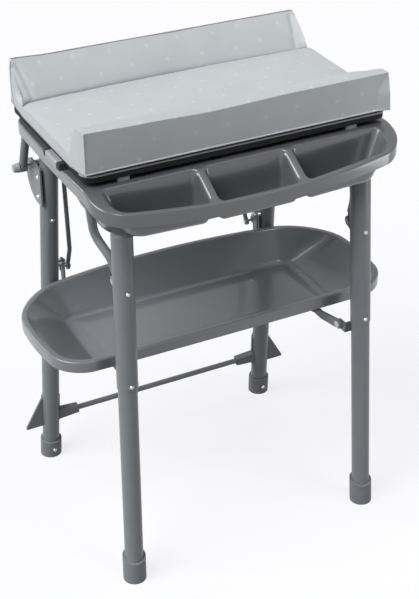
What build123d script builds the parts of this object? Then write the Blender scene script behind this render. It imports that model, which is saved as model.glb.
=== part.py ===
from build123d import *
import os

# Folding changing stand with a bath tub, a flip-up changing top and a shelf.
# Millimetres, Z up. The origin lies on the floor midway between the four feet,
# X runs along the width and +Y points to the rear. Left and right are seen from the front.

os.makedirs("parts", exist_ok=True)

SIDES = ((-1, "left"), (1, "right"))

# Clearances
FIT = 0.1
RUN = 0.08
OPEN_RUN = 0.3
REST = 0.3
OVERRUN = 5

# Leg axes: where they meet the floor and where they end
REAR_FOOT_X = 287
REAR_FOOT_Y = 246
REAR_TOP_X = 266.6
REAR_TOP_Y = 180
REAR_TOP_Z = 824
FRONT_FOOT_X = 288
FRONT_FOOT_Y = -246
FRONT_TOP_X = 266.6
FRONT_TOP_Y = -193.6
FRONT_TOP_Z = 818
REAR = ((REAR_FOOT_X, REAR_FOOT_Y), (REAR_TOP_X, REAR_TOP_Y), REAR_TOP_Z)
FRONT = ((FRONT_FOOT_X, FRONT_FOOT_Y), (FRONT_TOP_X, FRONT_TOP_Y), FRONT_TOP_Z)

# Leg tubes, the wider sleeves on the front legs and the plugs in their tops
LEG_RADIUS = 20
LEG_WALL = 1.5
SLEEVE_WALL = 1.6
SLEEVE_LOW = 480
SLEEVE_OVERLAP = 110
SLEEVE_RADIUS = LEG_RADIUS + FIT + SLEEVE_WALL
CAP_HEIGHT = 5
CAP_PLUG = 16
CAP_TAPER = 40

# Feet
FOOT_WALL = 5
FOOT_FLOOR = 6
REAR_FOOT_HEIGHT = 47
FRONT_FOOT_HEIGHT = 58
FRONT_COLLAR_SLANT = 14
FOOT_FILLET = 2.5

# Screws with a domed head and a hexagon socket
SCREW_HEAD = 4.6
SCREW_HEAD_HEIGHT = 2.4
SCREW_TAPER = 30
SCREW_SHANK = 2
SCREW_LENGTH = 12
SCREW_SOCKET = 2.3
SCREW_SOCKET_DEPTH = 1.4
FRONT_SCREW_HEIGHTS = (490, 698)
REAR_SCREW_Z = 671
FOOT_SCREW_Z = 24

# Main hinge behind the rear legs
HINGE_Z = 788
HINGE_GAP = 6
TUBE_RADIUS = 9
TUBE_WALL = 1.5
HINGE_PIN = 5
PLATE = 4
BRACKET_TOP = 17
BRACKET_BULGE = 31
BRACKET_BULGE_DROP = 24
BRACKET_FOOT_DROP = 78
BRACKET_FRONT = 14
BRACKET_RIVET_DROPS = (14, 62)
RIVET_RADIUS = 2.5
RIVET_HEAD = 5
RIVET_HEAD_HEIGHT = 2.5
RIVET_LENGTH = 7
RIVET_TAPER = 30
KNOB_RADIUS = 11
KNOB_LENGTH = 12
KNOB_TAPER = 12
PIN_SHOULDER = 8
PIN_DEPTH = 18

# Tub: rim, skirt and basin
RIM_Z = 920
TUB_WALL = 3.5
SKIRT = 26
TUB_HALF = 338
TUB_BACK = 200
TUB_FRONT = -269
TUB_BACK_BOW = 0
TUB_END_BOW = 5
TUB_FRONT_BOW = 17
TUB_BACK_CORNER = 46
TUB_FRONT_CORNER = 50
RIM_ROUND = 5
SLOPE_START = -184
FRONT_DROP = 48
FRONT_RISE = 22
SLOPE_END = -300
BASIN_DEPTH = 170
BASIN_HALF = 293
BASIN_BACK = 165
BASIN_FRONT = -160
BASIN_BOW = 3
BASIN_CORNER = 80
BASIN_FLOOR_HALF = 246
BASIN_FLOOR_BACK = 108
BASIN_FLOOR_FRONT = -112
BASIN_FLOOR_CORNER = 62
DRAIN_X = 170

# Three compartments in the tub's front
BIN_BACK = -190
BIN_FRONT_EDGE = 8
BIN_FLOOR_Z = 836
BIN_DRAFT = 11
BIN_END = 303
BIN_END_DRAFT = 34
BIN_FRONT_DRAFT = 3
DIVIDER_X = 96
DIVIDER = 12
BIN_CORNER = 10
BIN_END_CORNER = 34

# Carrier tubes under the tub's rim
CARRIER_X = 312
CARRIER_LEAN = 46
CARRIER_FRONT_Y = -138
CARRIER_KNEE = (25, 40, 90)
CARRIER_ANKLE = (7, 2, 50)
CARRIER_ARM_BEND = 42
CARRIER_FRONT_BEND = 38
CARRIER_KNEE_BEND = 42
CARRIER_ANKLE_BEND = 34
EYE_RADIUS = 11
EYE_THICK = 7
EYE_REACH = 20
SADDLE_PLACES = (112, -78)
SADDLE_LENGTH = 22
SADDLE_WALL = 3
SADDLE_EAR = 9

# Front leg pivots on the carrier tubes
PIVOT_Z = 700
PIVOT_REACH = 16
PIVOT_PIN = 4
CHANNEL_HEIGHT = 34
CHANNEL_WALL = 3
SIDE_GAP = 1

# Shelf pivots, link rods and the bars under the shelf
SHELF_PIVOT_Z = 545
SHELF_PIN = 4
BAR_X = 242
BAR_THICK = 4
BAR_DEPTH = 20
STUD_RADIUS = 8
HEAD_THICK = 3.5
CRANK_BACK = 12
CRANK_DROP = 20
CRANK_X = 233
CRANK_THICK = 3
ROD_RADIUS = 5
ROD_EYE = 9
ROD_EYE_THICK = 6
ROD_X = 227
ROD_BOW = 8
ROD_BEND_SHARE = 0.16
ROD_PIN = 3
ROD_CLIP = 5
ROD_CLIP_THICK = 2
LUG_THICK = 4

# Shelf tray
SHELF_RIM_Z = 520
SHELF_WALL = 3.5
SHELF_LIP = 25
SHELF_DEPTH = 65
SHELF_HALF = 399
SHELF_BACK = 197
SHELF_FRONT = -158
SHELF_BACK_BOW = 46
SHELF_END_BOW = 20
SHELF_FRONT_BOW = 3
SHELF_BACK_CORNER = 105
SHELF_FRONT_CORNER = 62
SHELF_RIM_WIDTH = 12
SHELF_FLOOR_HALF = 284
SHELF_FLOOR_BACK = 116
SHELF_FLOOR_FRONT = -100
SHELF_FLOOR_CORNER = 26
SHELF_FLOOR_BOW = 2
SHELF_PANEL_INSET = 16
SHELF_PANEL_RISE = 1.2

# Stabilizer bar between the rear legs and its brackets
STABILIZER_Z = 115
STABILIZER_RADIUS = 6.5
STABILIZER_ARM_X = 215
STABILIZER_ARM_TALL = 14
STABILIZER_ARM_SLIM = 9
STABILIZER_SOCKET = 30
COLLAR_WALL = 3
FIN_LOW = 92
FIN_HIGH = 172
FIN_TIP_X = 347
FIN_THICK = 5

# Supports from the cross tube to the tub's rim
SUPPORT_X = 120
SUPPORT_THICK = 4
SUPPORT_WIDTH = 18
SUPPORT_FOOT = 30
SUPPORT_RIM_SETBACK = 16
SUPPORT_KNEE_DROP = 34

# Changing board and its hinge
BUFFER_HEIGHT = 10
BOARD_THICK = 20
BOARD_HALF = 331
BOARD_BACK = 206
BOARD_FRONT = -180
BOARD_CORNER = 22
BOARD_SKIN = 4
BOARD_POCKET_COUNTS = (6, 4)
BOARD_RIB = 6
TOP_HINGE_X = 270
TOP_HINGE_WIDTH = 26
TOP_HINGE_SETBACK = 14
TOP_HINGE_RISE = 8
TOP_HINGE_ROUND = 7
TOP_PIN = 3
NOTCH_GAP = 2
FRONT_BUFFER_X = 250
FRONT_BUFFER_SIZE = (25, 12)
FRONT_BUFFER_SETBACK = 9
CATCH_LENGTH = 80
CATCH_Y = -45
CATCH_OUT = 345
CATCH_HEIGHT = 14
CATCH_TONGUE = 22
CATCH_GRIP = 12
CATCH_ROUND = 3

# Mat: a flat pad between two raised rolls
MAT_HALF = 330
MAT_END_DRAW = 4
MAT_BACK = 206
MAT_FRONT = -184
MAT_THICK = 18
MAT_ROLL = 79
MAT_CROWN = 5
MAT_EDGE = 6
MAT_BACK_SLOPE = 58
MAT_FRONT_SLOPE = 62
MAT_SHOULDER = 9
MAT_FRONT_TOP = 52
MAT_TOP_SHARE = 0.8
MAT_STATION_SHARES = ((1, 1, 0.2), (0.96, 0.35, 0.5), (0.88, 0, 0.7), (0.45, 0, 0.9))

# Drain in the tub's floor
DRAIN_RADIUS = 12
DRAIN_WALL = 2.5
DRAIN_FLANGE = 22
DRAIN_FLANGE_THICK = 2
DRAIN_LENGTH = 28
NUT_RADIUS = 20
NUT_THICK = 7
PLUG_TAPER = 3
PLUG_HEIGHT = 12
PLUG_HEAD = 16
PLUG_HEAD_THICK = 3
PULL_RING = 7
PULL_RING_WIRE = 1.2


def leg_point(leg, side, height):
    """Point on a leg's axis at a height above the floor."""
    (foot_x, foot_y), (top_x, top_y), top = leg
    along = height / top
    return Vector(side * (foot_x + (top_x - foot_x) * along), foot_y + (top_y - foot_y) * along, height)


def leg_axis(leg, side):
    """Direction of a leg's axis, upward."""
    return (leg_point(leg, side, leg[2]) - leg_point(leg, side, 0)).normalized()


def on_leg(leg, side, low, high, radius, mode=Mode.ADD, taper=0):
    """Round length on a leg's axis between two heights."""
    axis = leg_axis(leg, side)
    plane = Plane(origin=leg_point(leg, side, low), x_dir=(1, 0, 0), z_dir=axis)
    with BuildSketch(plane) as section:
        Circle(radius)
    extrude(to_extrude=section.sketch, amount=(high - low) / axis.Z, taper=taper, mode=mode)


def face_plane(leg, side, height, radius):
    """Plane that touches a leg's front side, facing forward."""
    axis = leg_axis(leg, side)
    forward = Vector(1, 0, 0).cross(axis).normalized()
    return Plane(origin=leg_point(leg, side, height) + forward * radius, x_dir=(1, 0, 0), z_dir=forward)


def screw(plane):
    """Screw whose head sits on the plane."""
    with BuildSketch(plane) as head:
        Circle(SCREW_HEAD)
    extrude(to_extrude=head.sketch, amount=SCREW_HEAD_HEIGHT, taper=SCREW_TAPER)
    with BuildSketch(plane) as shank:
        Circle(SCREW_SHANK)
    extrude(to_extrude=shank.sketch, amount=-SCREW_LENGTH)
    with BuildSketch(plane.offset(SCREW_HEAD_HEIGHT)) as socket:
        RegularPolygon(SCREW_SOCKET, 6)
    extrude(to_extrude=socket.sketch, amount=-SCREW_SOCKET_DEPTH, mode=Mode.SUBTRACT)


def screw_hole(plane, depth):
    """Clearance hole for a screw's shank."""
    with BuildSketch(plane.offset(OVERRUN)) as hole:
        Circle(SCREW_SHANK + FIT)
    extrude(to_extrude=hole.sketch, amount=-(depth + OVERRUN), mode=Mode.SUBTRACT)


def round_bar(side, start, end, centre, radius, mode=Mode.ADD, taper=0):
    """Round bar along X between two distances from the middle, about a (y, z) centre."""
    with BuildSketch(Plane.YZ.offset(side * start)) as section:
        with Locations(centre):
            Circle(radius)
    extrude(to_extrude=section.sketch, amount=side * (end - start), taper=taper, mode=mode)


def bowed_side(start, end, bow):
    """Side of an outline drawn anticlockwise, bowed outward in its middle."""
    if bow == 0:
        Line(start, end)
        return
    chord = Vector(*end) - Vector(*start)
    outward = Vector(chord.Y, -chord.X).normalized()
    middle = (Vector(*start) + Vector(*end)) / 2 + outward * bow
    ThreePointArc(start, middle, end)


def tray_face(height, half, back, front, bows, radii):
    """Level outline with bowed back, ends and front, and with rounded corners."""
    back_bow, end_bow, front_bow = bows
    right = half - end_bow
    rear_corner = back - back_bow
    front_corner = front + front_bow
    with BuildSketch(Plane.XY.offset(height)) as face:
        with BuildLine():
            bowed_side((right, front_corner), (right, rear_corner), end_bow)
            bowed_side((right, rear_corner), (-right, rear_corner), back_bow)
            bowed_side((-right, rear_corner), (-right, front_corner), end_bow)
            bowed_side((-right, front_corner), (right, front_corner), front_bow)
        make_face()
        fillet(face.vertices().group_by(Axis.Y)[-1], radii[0])
        fillet(face.vertices().group_by(Axis.Y)[0], radii[1])
    return face.sketch


def capsule(start, end, start_radius, end_radius):
    """Link outline around two (y, z) points, in the sketch that is open."""
    with BuildSketch(mode=Mode.PRIVATE) as link:
        with Locations(start):
            Circle(start_radius)
        with Locations(end):
            Circle(end_radius)
        make_hull(link.sketch.edges())
    add(link.sketch)


def save(piece, label):
    """Name a finished piece and write it."""
    piece.part.label = label
    export_step(piece.part, f"parts/{label}.step")


# Places of the pivots, as (y, z)
HINGE = (leg_point(REAR, 1, HINGE_Z).Y + LEG_RADIUS + HINGE_GAP + TUBE_RADIUS, HINGE_Z)
PIVOT = (leg_point(FRONT, 1, PIVOT_Z).Y + SLEEVE_RADIUS + PIVOT_REACH, PIVOT_Z)
PIVOT_X = leg_point(FRONT, 1, PIVOT_Z).X
SHELF_REAR = (leg_point(REAR, 1, SHELF_PIVOT_Z).Y, SHELF_PIVOT_Z)
SHELF_FORE = (SHELF_REAR[0] + PIVOT[0] - HINGE[0], SHELF_REAR[1] + PIVOT[1] - HINGE[1])
ROD_TOP = (HINGE[0] + CRANK_BACK, HINGE[1] - CRANK_DROP)
ROD_FOOT = (SHELF_REAR[0] + CRANK_BACK, SHELF_REAR[1] - CRANK_DROP)
TOP_HINGE = (BOARD_BACK - TOP_HINGE_SETBACK, RIM_Z + BUFFER_HEIGHT + TOP_HINGE_RISE)
BRACKET_X = leg_point(REAR, 1, HINGE_Z - BRACKET_FOOT_DROP).X + LEG_RADIUS + REST
CROSS_END = BRACKET_X - SIDE_GAP
BOARD_Z = RIM_Z + BUFFER_HEIGHT
MAT_Z = BOARD_Z + BOARD_THICK + REST
TUB_FLOOR = RIM_Z - BASIN_DEPTH

# Rear legs: round steel tubes, straight from the feet to the hinge
for side, hand in SIDES:
    with BuildPart() as rear_leg:
        on_leg(REAR, side, FOOT_FLOOR, REAR_TOP_Z, LEG_RADIUS)
        on_leg(REAR, side, FOOT_FLOOR - OVERRUN, REAR_TOP_Z + OVERRUN, LEG_RADIUS - LEG_WALL, Mode.SUBTRACT)
        screw_hole(face_plane(REAR, side, REAR_SCREW_Z, LEG_RADIUS), LEG_WALL + OVERRUN)
        screw_hole(face_plane(REAR, side, FOOT_SCREW_Z, LEG_RADIUS), LEG_WALL + OVERRUN)
        for drop in BRACKET_RIVET_DROPS:
            axis = leg_point(REAR, 1, HINGE_Z - drop)
            outside = axis.X + LEG_RADIUS + OVERRUN
            round_bar(side, axis.X, outside, (axis.Y, axis.Z), RIVET_RADIUS + FIT, Mode.SUBTRACT)
    save(rear_leg, f"rear_leg_{hand}")

# Rear foot sleeves: moulded cups, cut level where they stand on the floor
for side, hand in SIDES:
    with BuildPart() as rear_foot:
        on_leg(REAR, side, -OVERRUN, REAR_FOOT_HEIGHT, LEG_RADIUS + FIT + FOOT_WALL)
        split(bisect_by=Plane.XY, keep=Keep.TOP)
        fillet(rear_foot.edges().group_by(Axis.Z)[-1], FOOT_FILLET)
        on_leg(REAR, side, FOOT_FLOOR, REAR_FOOT_HEIGHT + OVERRUN, LEG_RADIUS + FIT, Mode.SUBTRACT)
        screw_hole(face_plane(REAR, side, FOOT_SCREW_Z, LEG_RADIUS + FIT + FOOT_WALL), FOOT_WALL + OVERRUN)
    save(rear_foot, f"rear_foot_{hand}")

# Front foot caps: taller cups whose collar slants down to the front
for side, hand in SIDES:
    with BuildPart() as front_foot:
        on_leg(FRONT, side, -OVERRUN, FRONT_FOOT_HEIGHT + OVERRUN, LEG_RADIUS + FIT + FOOT_WALL)
        split(bisect_by=Plane.XY, keep=Keep.TOP)
        collar = Plane(origin=leg_point(FRONT, side, FRONT_FOOT_HEIGHT)).rotated((FRONT_COLLAR_SLANT, 0, 0))
        split(bisect_by=collar, keep=Keep.BOTTOM)
        fillet(front_foot.edges().group_by(Axis.Z)[-1], FOOT_FILLET)
        on_leg(FRONT, side, FOOT_FLOOR, FRONT_FOOT_HEIGHT + LEG_RADIUS, LEG_RADIUS + FIT, Mode.SUBTRACT)
    save(front_foot, f"front_foot_{hand}")

# Screws of the rear legs: one in each foot sleeve and one below each hinge
with BuildPart() as rear_screws:
    for side, hand in SIDES:
        screw(face_plane(REAR, side, FOOT_SCREW_Z, LEG_RADIUS + FIT + FOOT_WALL))
        screw(face_plane(REAR, side, REAR_SCREW_Z, LEG_RADIUS))
save(rear_screws, "rear_screws")

# Plugs in the tops of the rear legs
with BuildPart() as rear_leg_caps:
    for side, hand in SIDES:
        on_leg(REAR, side, REAR_TOP_Z, REAR_TOP_Z + CAP_HEIGHT, LEG_RADIUS, taper=CAP_TAPER)
        on_leg(REAR, side, REAR_TOP_Z - CAP_PLUG, REAR_TOP_Z, LEG_RADIUS - LEG_WALL - FIT)
save(rear_leg_caps, "rear_leg_caps")

# Hinge brackets: plates on the outer side of the rear legs, bulging back round the hinge
for side, hand in SIDES:
    leg_back = leg_point(REAR, 1, HINGE_Z).Y
    foot_z = HINGE_Z - BRACKET_FOOT_DROP
    front = leg_back - BRACKET_FRONT
    heel = (leg_back + BRACKET_FRONT, foot_z)
    bulge = (HINGE[0] + BRACKET_BULGE, HINGE_Z - BRACKET_BULGE_DROP)
    crown = (HINGE[0], HINGE_Z + BRACKET_TOP)
    with BuildPart() as hinge_bracket:
        with BuildSketch(Plane.YZ.offset(side * BRACKET_X)):
            with BuildLine():
                Line((front, foot_z), heel)
                RadiusArc(heel, bulge, -2 * BRACKET_BULGE)
                RadiusArc(bulge, crown, -BRACKET_BULGE - BRACKET_TOP / 2)
                Line(crown, (front, HINGE_Z + BRACKET_TOP / 2))
                Line((front, HINGE_Z + BRACKET_TOP / 2), (front, foot_z))
            make_face()
        extrude(amount=side * PLATE)
        low = BRACKET_X - OVERRUN
        high = BRACKET_X + PLATE + OVERRUN
        round_bar(side, low, high, HINGE, HINGE_PIN + FIT, Mode.SUBTRACT)
        for drop in BRACKET_RIVET_DROPS:
            axis = leg_point(REAR, 1, HINGE_Z - drop)
            round_bar(side, low, high, (axis.Y, axis.Z), RIVET_RADIUS + FIT, Mode.SUBTRACT)
    save(hinge_bracket, f"hinge_bracket_{hand}")

# Rivets that hold the hinge brackets
with BuildPart() as bracket_rivets:
    for side, hand in SIDES:
        for drop in BRACKET_RIVET_DROPS:
            axis = leg_point(REAR, 1, HINGE_Z - drop)
            seat = BRACKET_X + PLATE
            round_bar(side, seat - RIVET_LENGTH, seat, (axis.Y, axis.Z), RIVET_RADIUS)
            round_bar(side, seat, seat + RIVET_HEAD_HEIGHT, (axis.Y, axis.Z), RIVET_HEAD, taper=RIVET_TAPER)
save(bracket_rivets, "bracket_rivets")

# Hinge pins with a shoulder between bracket and carrier tube, and the knobs on their ends
SHOULDER_END = CARRIER_X - TUBE_RADIUS - SIDE_GAP
KNOB_X = CARRIER_X + TUBE_RADIUS + SIDE_GAP
KNOB_SEAT = KNOB_X + KNOB_LENGTH - PLATE
with BuildPart() as hinge_pins:
    for side, hand in SIDES:
        round_bar(side, CROSS_END - PIN_DEPTH, KNOB_SEAT, HINGE, HINGE_PIN)
        round_bar(side, BRACKET_X + PLATE, SHOULDER_END, HINGE, PIN_SHOULDER)
save(hinge_pins, "hinge_pins")
with BuildPart() as hinge_knobs:
    for side, hand in SIDES:
        round_bar(side, KNOB_X, KNOB_X + KNOB_LENGTH, HINGE, KNOB_RADIUS, taper=KNOB_TAPER)
        round_bar(side, KNOB_X - OVERRUN, KNOB_SEAT, HINGE, HINGE_PIN + FIT, Mode.SUBTRACT)
save(hinge_knobs, "hinge_knobs")

# Stabilizer bar between the rear legs
STABILIZER = (leg_point(REAR, 1, STABILIZER_Z).Y, STABILIZER_Z)
BAR_END = STABILIZER_ARM_X + STABILIZER_SOCKET
with BuildPart() as stabilizer_bar:
    round_bar(1, -BAR_END, BAR_END, STABILIZER, STABILIZER_RADIUS)
save(stabilizer_bar, "stabilizer_bar")

# Its brackets: a half collar behind the leg, a tapering arm inward and a triangular fin outward
for side, hand in SIDES:
    leg_x = leg_point(REAR, 1, STABILIZER_Z).X
    axis = leg_axis(REAR, side)
    with BuildPart() as stabilizer_bracket:
        with BuildSketch(Plane(origin=leg_point(REAR, side, FIN_LOW), x_dir=(1, 0, 0), z_dir=axis)):
            Circle(LEG_RADIUS + COLLAR_WALL)
            with Locations((0, -LEG_RADIUS)):
                Rectangle(4 * LEG_RADIUS, 2 * LEG_RADIUS, mode=Mode.SUBTRACT)
        extrude(amount=(FIN_HIGH - FIN_LOW) / axis.Z)
        with BuildSketch(Plane.XZ.offset(-STABILIZER[0])):
            Polygon(
                (side * leg_x, FIN_LOW),
                (side * FIN_TIP_X, FIN_LOW),
                (side * FIN_TIP_X, FIN_LOW + FIN_THICK),
                (side * (leg_x + LEG_RADIUS), FIN_HIGH),
                (side * leg_x, FIN_HIGH),
                align=None,
            )
        extrude(amount=FIN_THICK / 2, both=True)
        with BuildSketch(Plane.XZ.offset(-STABILIZER[0])):
            Polygon(
                (side * leg_x, STABILIZER_Z - STABILIZER_ARM_TALL),
                (side * leg_x, STABILIZER_Z + STABILIZER_ARM_TALL),
                (side * STABILIZER_ARM_X, STABILIZER_Z + STABILIZER_ARM_SLIM),
                (side * STABILIZER_ARM_X, STABILIZER_Z - STABILIZER_ARM_SLIM),
                align=None,
            )
        extrude(amount=STABILIZER_ARM_SLIM, both=True)
        on_leg(REAR, side, 0, REAR_TOP_Z, LEG_RADIUS + FIT, Mode.SUBTRACT)
        round_bar(side, 0, BAR_END + REST, STABILIZER, STABILIZER_RADIUS + FIT, Mode.SUBTRACT)
    save(stabilizer_bracket, f"stabilizer_bracket_{hand}")

# Studs on the inner sides of the rear legs that carry the shelf bars
with BuildPart() as shelf_studs:
    for side, hand in SIDES:
        leg_x = leg_point(REAR, 1, SHELF_PIVOT_Z).X
        collar = BAR_X + BAR_THICK + SIDE_GAP
        round_bar(side, collar, leg_x, SHELF_REAR, STUD_RADIUS)
        round_bar(side, BAR_X - REST - HEAD_THICK, collar, SHELF_REAR, SHELF_PIN)
        round_bar(side, BAR_X - REST - HEAD_THICK, BAR_X - REST, SHELF_REAR, STUD_RADIUS)
        on_leg(REAR, side, 0, REAR_TOP_Z, LEG_RADIUS, Mode.SUBTRACT)
save(shelf_studs, "shelf_studs")

# Cross tube of the tub frame on the main hinge, with a bearing bush in each end
with BuildPart() as cross_tube:
    round_bar(1, -CROSS_END, CROSS_END, HINGE, TUBE_RADIUS)
    round_bar(1, -CROSS_END - OVERRUN, CROSS_END + OVERRUN, HINGE, TUBE_RADIUS - TUBE_WALL, Mode.SUBTRACT)
save(cross_tube, "cross_tube")
with BuildPart() as cross_tube_bushes:
    for side, hand in SIDES:
        inner = CROSS_END - PIN_DEPTH
        round_bar(side, inner, CROSS_END, HINGE, TUBE_RADIUS - TUBE_WALL - FIT)
        round_bar(side, inner - OVERRUN, CROSS_END + OVERRUN, HINGE, HINGE_PIN + RUN, Mode.SUBTRACT)
save(cross_tube_bushes, "cross_tube_bushes")

# Cranks on the cross tube that carry the tops of the link rods, and their pins
with BuildPart() as rod_cranks:
    for side, hand in SIDES:
        with BuildSketch(Plane.YZ.offset(side * CRANK_X)) as crank_outline:
            capsule(HINGE, ROD_TOP, TUBE_RADIUS + CRANK_THICK, ROD_EYE - SIDE_GAP)
        extrude(to_extrude=crank_outline.sketch, amount=side * CRANK_THICK)
        low = CRANK_X - OVERRUN
        high = CRANK_X + CRANK_THICK + OVERRUN
        round_bar(side, low, high, HINGE, TUBE_RADIUS + FIT / 2, Mode.SUBTRACT)
        round_bar(side, low, high, ROD_TOP, ROD_PIN + FIT, Mode.SUBTRACT)
save(rod_cranks, "rod_cranks")

ROD_CLIP_X = ROD_X - ROD_EYE_THICK / 2 - SIDE_GAP


def rod_pin(side, seat, centre):
    """Pin through a link rod's eye, with a head at its seat and a clip beyond the eye."""
    round_bar(side, ROD_CLIP_X, seat, centre, ROD_PIN)
    round_bar(side, seat, seat + ROD_CLIP_THICK, centre, ROD_CLIP)
    round_bar(side, ROD_CLIP_X - ROD_CLIP_THICK, ROD_CLIP_X, centre, ROD_CLIP)


with BuildPart() as crank_pins:
    for side, hand in SIDES:
        rod_pin(side, CRANK_X + CRANK_THICK, ROD_TOP)
save(crank_pins, "crank_pins")
with BuildPart() as shelf_rod_pins:
    for side, hand in SIDES:
        rod_pin(side, BAR_X + BAR_THICK, ROD_FOOT)
save(shelf_rod_pins, "shelf_rod_pins")

# Link rods: bent inward between two flattened eyes
for side, hand in SIDES:
    rise = ROD_TOP[1] - ROD_FOOT[1]
    lean = ROD_TOP[0] - ROD_FOOT[0]
    bends = [
        (side * ROD_X, ROD_FOOT[0], ROD_FOOT[1]),
        (side * (ROD_X - ROD_BOW), ROD_FOOT[0] + lean * ROD_BEND_SHARE, ROD_FOOT[1] + rise * ROD_BEND_SHARE),
        (side * (ROD_X - ROD_BOW), ROD_TOP[0] - lean * ROD_BEND_SHARE, ROD_TOP[1] - rise * ROD_BEND_SHARE),
        (side * ROD_X, ROD_TOP[0], ROD_TOP[1]),
    ]
    with BuildPart() as link_rod:
        with BuildLine() as route:
            FilletPolyline(*bends, radius=rise * ROD_BEND_SHARE)
        with BuildSketch(Plane(origin=route.line @ 0, z_dir=route.line % 0)):
            Circle(ROD_RADIUS)
        sweep(path=route.line)
        half = ROD_EYE_THICK / 2
        for centre, bore in ((ROD_TOP, ROD_PIN + RUN), (ROD_FOOT, ROD_PIN + OPEN_RUN)):
            round_bar(side, ROD_X - half, ROD_X + half, centre, ROD_EYE)
            round_bar(side, ROD_X + half, ROD_X + half + ROD_EYE, centre, ROD_EYE, Mode.SUBTRACT)
            round_bar(side, ROD_X - half - ROD_EYE, ROD_X - half, centre, ROD_EYE, Mode.SUBTRACT)
            round_bar(side, ROD_X - ROD_EYE, ROD_X + ROD_EYE, centre, bore, Mode.SUBTRACT)
    save(link_rod, f"link_rod_{hand}")

# Carrier tubes: from the hinge up under the rim, forward and down to the front leg's pivot
CARRIER_Z = RIM_Z - TUB_WALL - TUBE_RADIUS - REST
for side, hand in SIDES:
    knee_in, knee_back, knee_up = CARRIER_KNEE
    ankle_out, ankle_back, ankle_up = CARRIER_ANKLE
    stations = [
        (side * CARRIER_X, HINGE[0], HINGE_Z),
        (side * CARRIER_X, HINGE[0] - CARRIER_LEAN, CARRIER_Z),
        (side * CARRIER_X, CARRIER_FRONT_Y, CARRIER_Z),
        (side * (PIVOT_X + knee_in), PIVOT[0] + knee_back, PIVOT_Z + knee_up),
        (side * (PIVOT_X + ankle_out), PIVOT[0] + ankle_back, PIVOT_Z + ankle_up),
        (side * PIVOT_X, PIVOT[0], PIVOT_Z + EYE_REACH),
    ]
    radii = [CARRIER_ARM_BEND, CARRIER_FRONT_BEND, CARRIER_KNEE_BEND, CARRIER_ANKLE_BEND]
    with BuildPart() as carrier_tube:
        with BuildLine() as route:
            FilletPolyline(*stations, radius=radii)
        with BuildSketch(Plane(origin=route.line @ 0, z_dir=route.line % 0)):
            Circle(TUBE_RADIUS)
            Circle(TUBE_RADIUS - TUBE_WALL, mode=Mode.SUBTRACT)
        sweep(path=route.line)
        round_bar(side, CARRIER_X - EYE_THICK, CARRIER_X + EYE_THICK, HINGE, EYE_RADIUS)
        with BuildSketch(Plane.YZ.offset(side * PIVOT_X)):
            with Locations(PIVOT):
                Circle(EYE_RADIUS)
            with Locations((PIVOT[0], PIVOT_Z + EYE_REACH / 2)):
                Rectangle(2 * (TUBE_RADIUS - TUBE_WALL), EYE_REACH + TUBE_RADIUS)
        extrude(amount=EYE_THICK / 2, both=True)
        round_bar(side, CARRIER_X - TUBE_RADIUS, CARRIER_X + TUBE_RADIUS, HINGE, HINGE_PIN + RUN, Mode.SUBTRACT)
        round_bar(side, PIVOT_X - EYE_THICK, PIVOT_X + EYE_THICK, PIVOT, PIVOT_PIN + RUN, Mode.SUBTRACT)
    save(carrier_tube, f"carrier_tube_{hand}")

# Saddles that hang the carrier tubes under the tub's rim
with BuildPart() as tube_saddles:
    for side, hand in SIDES:
        for place in SADDLE_PLACES:
            with BuildSketch(Plane.XZ.offset(-place - SADDLE_LENGTH / 2)) as saddle:
                with Locations((side * CARRIER_X, CARRIER_Z)):
                    Circle(TUBE_RADIUS + FIT + SADDLE_WALL)
                rise = RIM_Z - TUB_WALL - CARRIER_Z
                with Locations((side * CARRIER_X, CARRIER_Z + rise / 2)):
                    Rectangle(2 * (TUBE_RADIUS + FIT + SADDLE_WALL), rise)
                ear = side * (CARRIER_X + TUBE_RADIUS + SADDLE_EAR / 2)
                with Locations((ear, RIM_Z - TUB_WALL - SADDLE_WALL / 2)):
                    Rectangle(SADDLE_EAR, SADDLE_WALL)
                with Locations((side * CARRIER_X, CARRIER_Z)):
                    Circle(TUBE_RADIUS + FIT, mode=Mode.SUBTRACT)
                with Locations((side * CARRIER_X, RIM_Z - TUB_WALL)):
                    Rectangle(2 * (TUBE_RADIUS + FIT), 2 * rise, mode=Mode.SUBTRACT)
                with Locations((side * CARRIER_X, CARRIER_Z + 2 * rise)):
                    Rectangle(4 * TUBE_RADIUS + SADDLE_EAR, 2 * rise, mode=Mode.SUBTRACT)
            extrude(to_extrude=saddle.sketch, amount=SADDLE_LENGTH)
save(tube_saddles, "tube_saddles")

# Supports between the cross tube and the rear of the rim
with BuildPart() as tub_supports:
    rim_y = TUB_BACK - SUPPORT_RIM_SETBACK
    under = RIM_Z - TUB_WALL
    knee = RIM_Z - SUPPORT_KNEE_DROP
    half = SUPPORT_WIDTH / 2
    for side, hand in SIDES:
        low = SUPPORT_X - SUPPORT_THICK / 2
        high = SUPPORT_X + SUPPORT_THICK / 2
        with BuildSketch(Plane.YZ.offset(side * low)) as strap:
            with Locations(HINGE):
                Circle(TUBE_RADIUS + SUPPORT_THICK)
            Polygon(
                (HINGE[0] - TUBE_RADIUS, HINGE_Z),
                (HINGE[0] + TUBE_RADIUS, HINGE_Z),
                (rim_y + half - SIDE_GAP, knee),
                (rim_y + half - SIDE_GAP, under),
                (rim_y - half, under),
                (rim_y - half, knee),
                align=None,
            )
        extrude(to_extrude=strap.sketch, amount=side * SUPPORT_THICK)
        with BuildSketch(Plane.XY.offset(under)) as foot:
            with Locations((side * SUPPORT_X, rim_y)):
                Rectangle(SUPPORT_FOOT, SUPPORT_WIDTH - 2 * SIDE_GAP)
        extrude(to_extrude=foot.sketch, amount=-SUPPORT_THICK)
        round_bar(side, low - OVERRUN, high + OVERRUN, HINGE, TUBE_RADIUS + FIT / 2, Mode.SUBTRACT)
save(tub_supports, "tub_supports")


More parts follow.
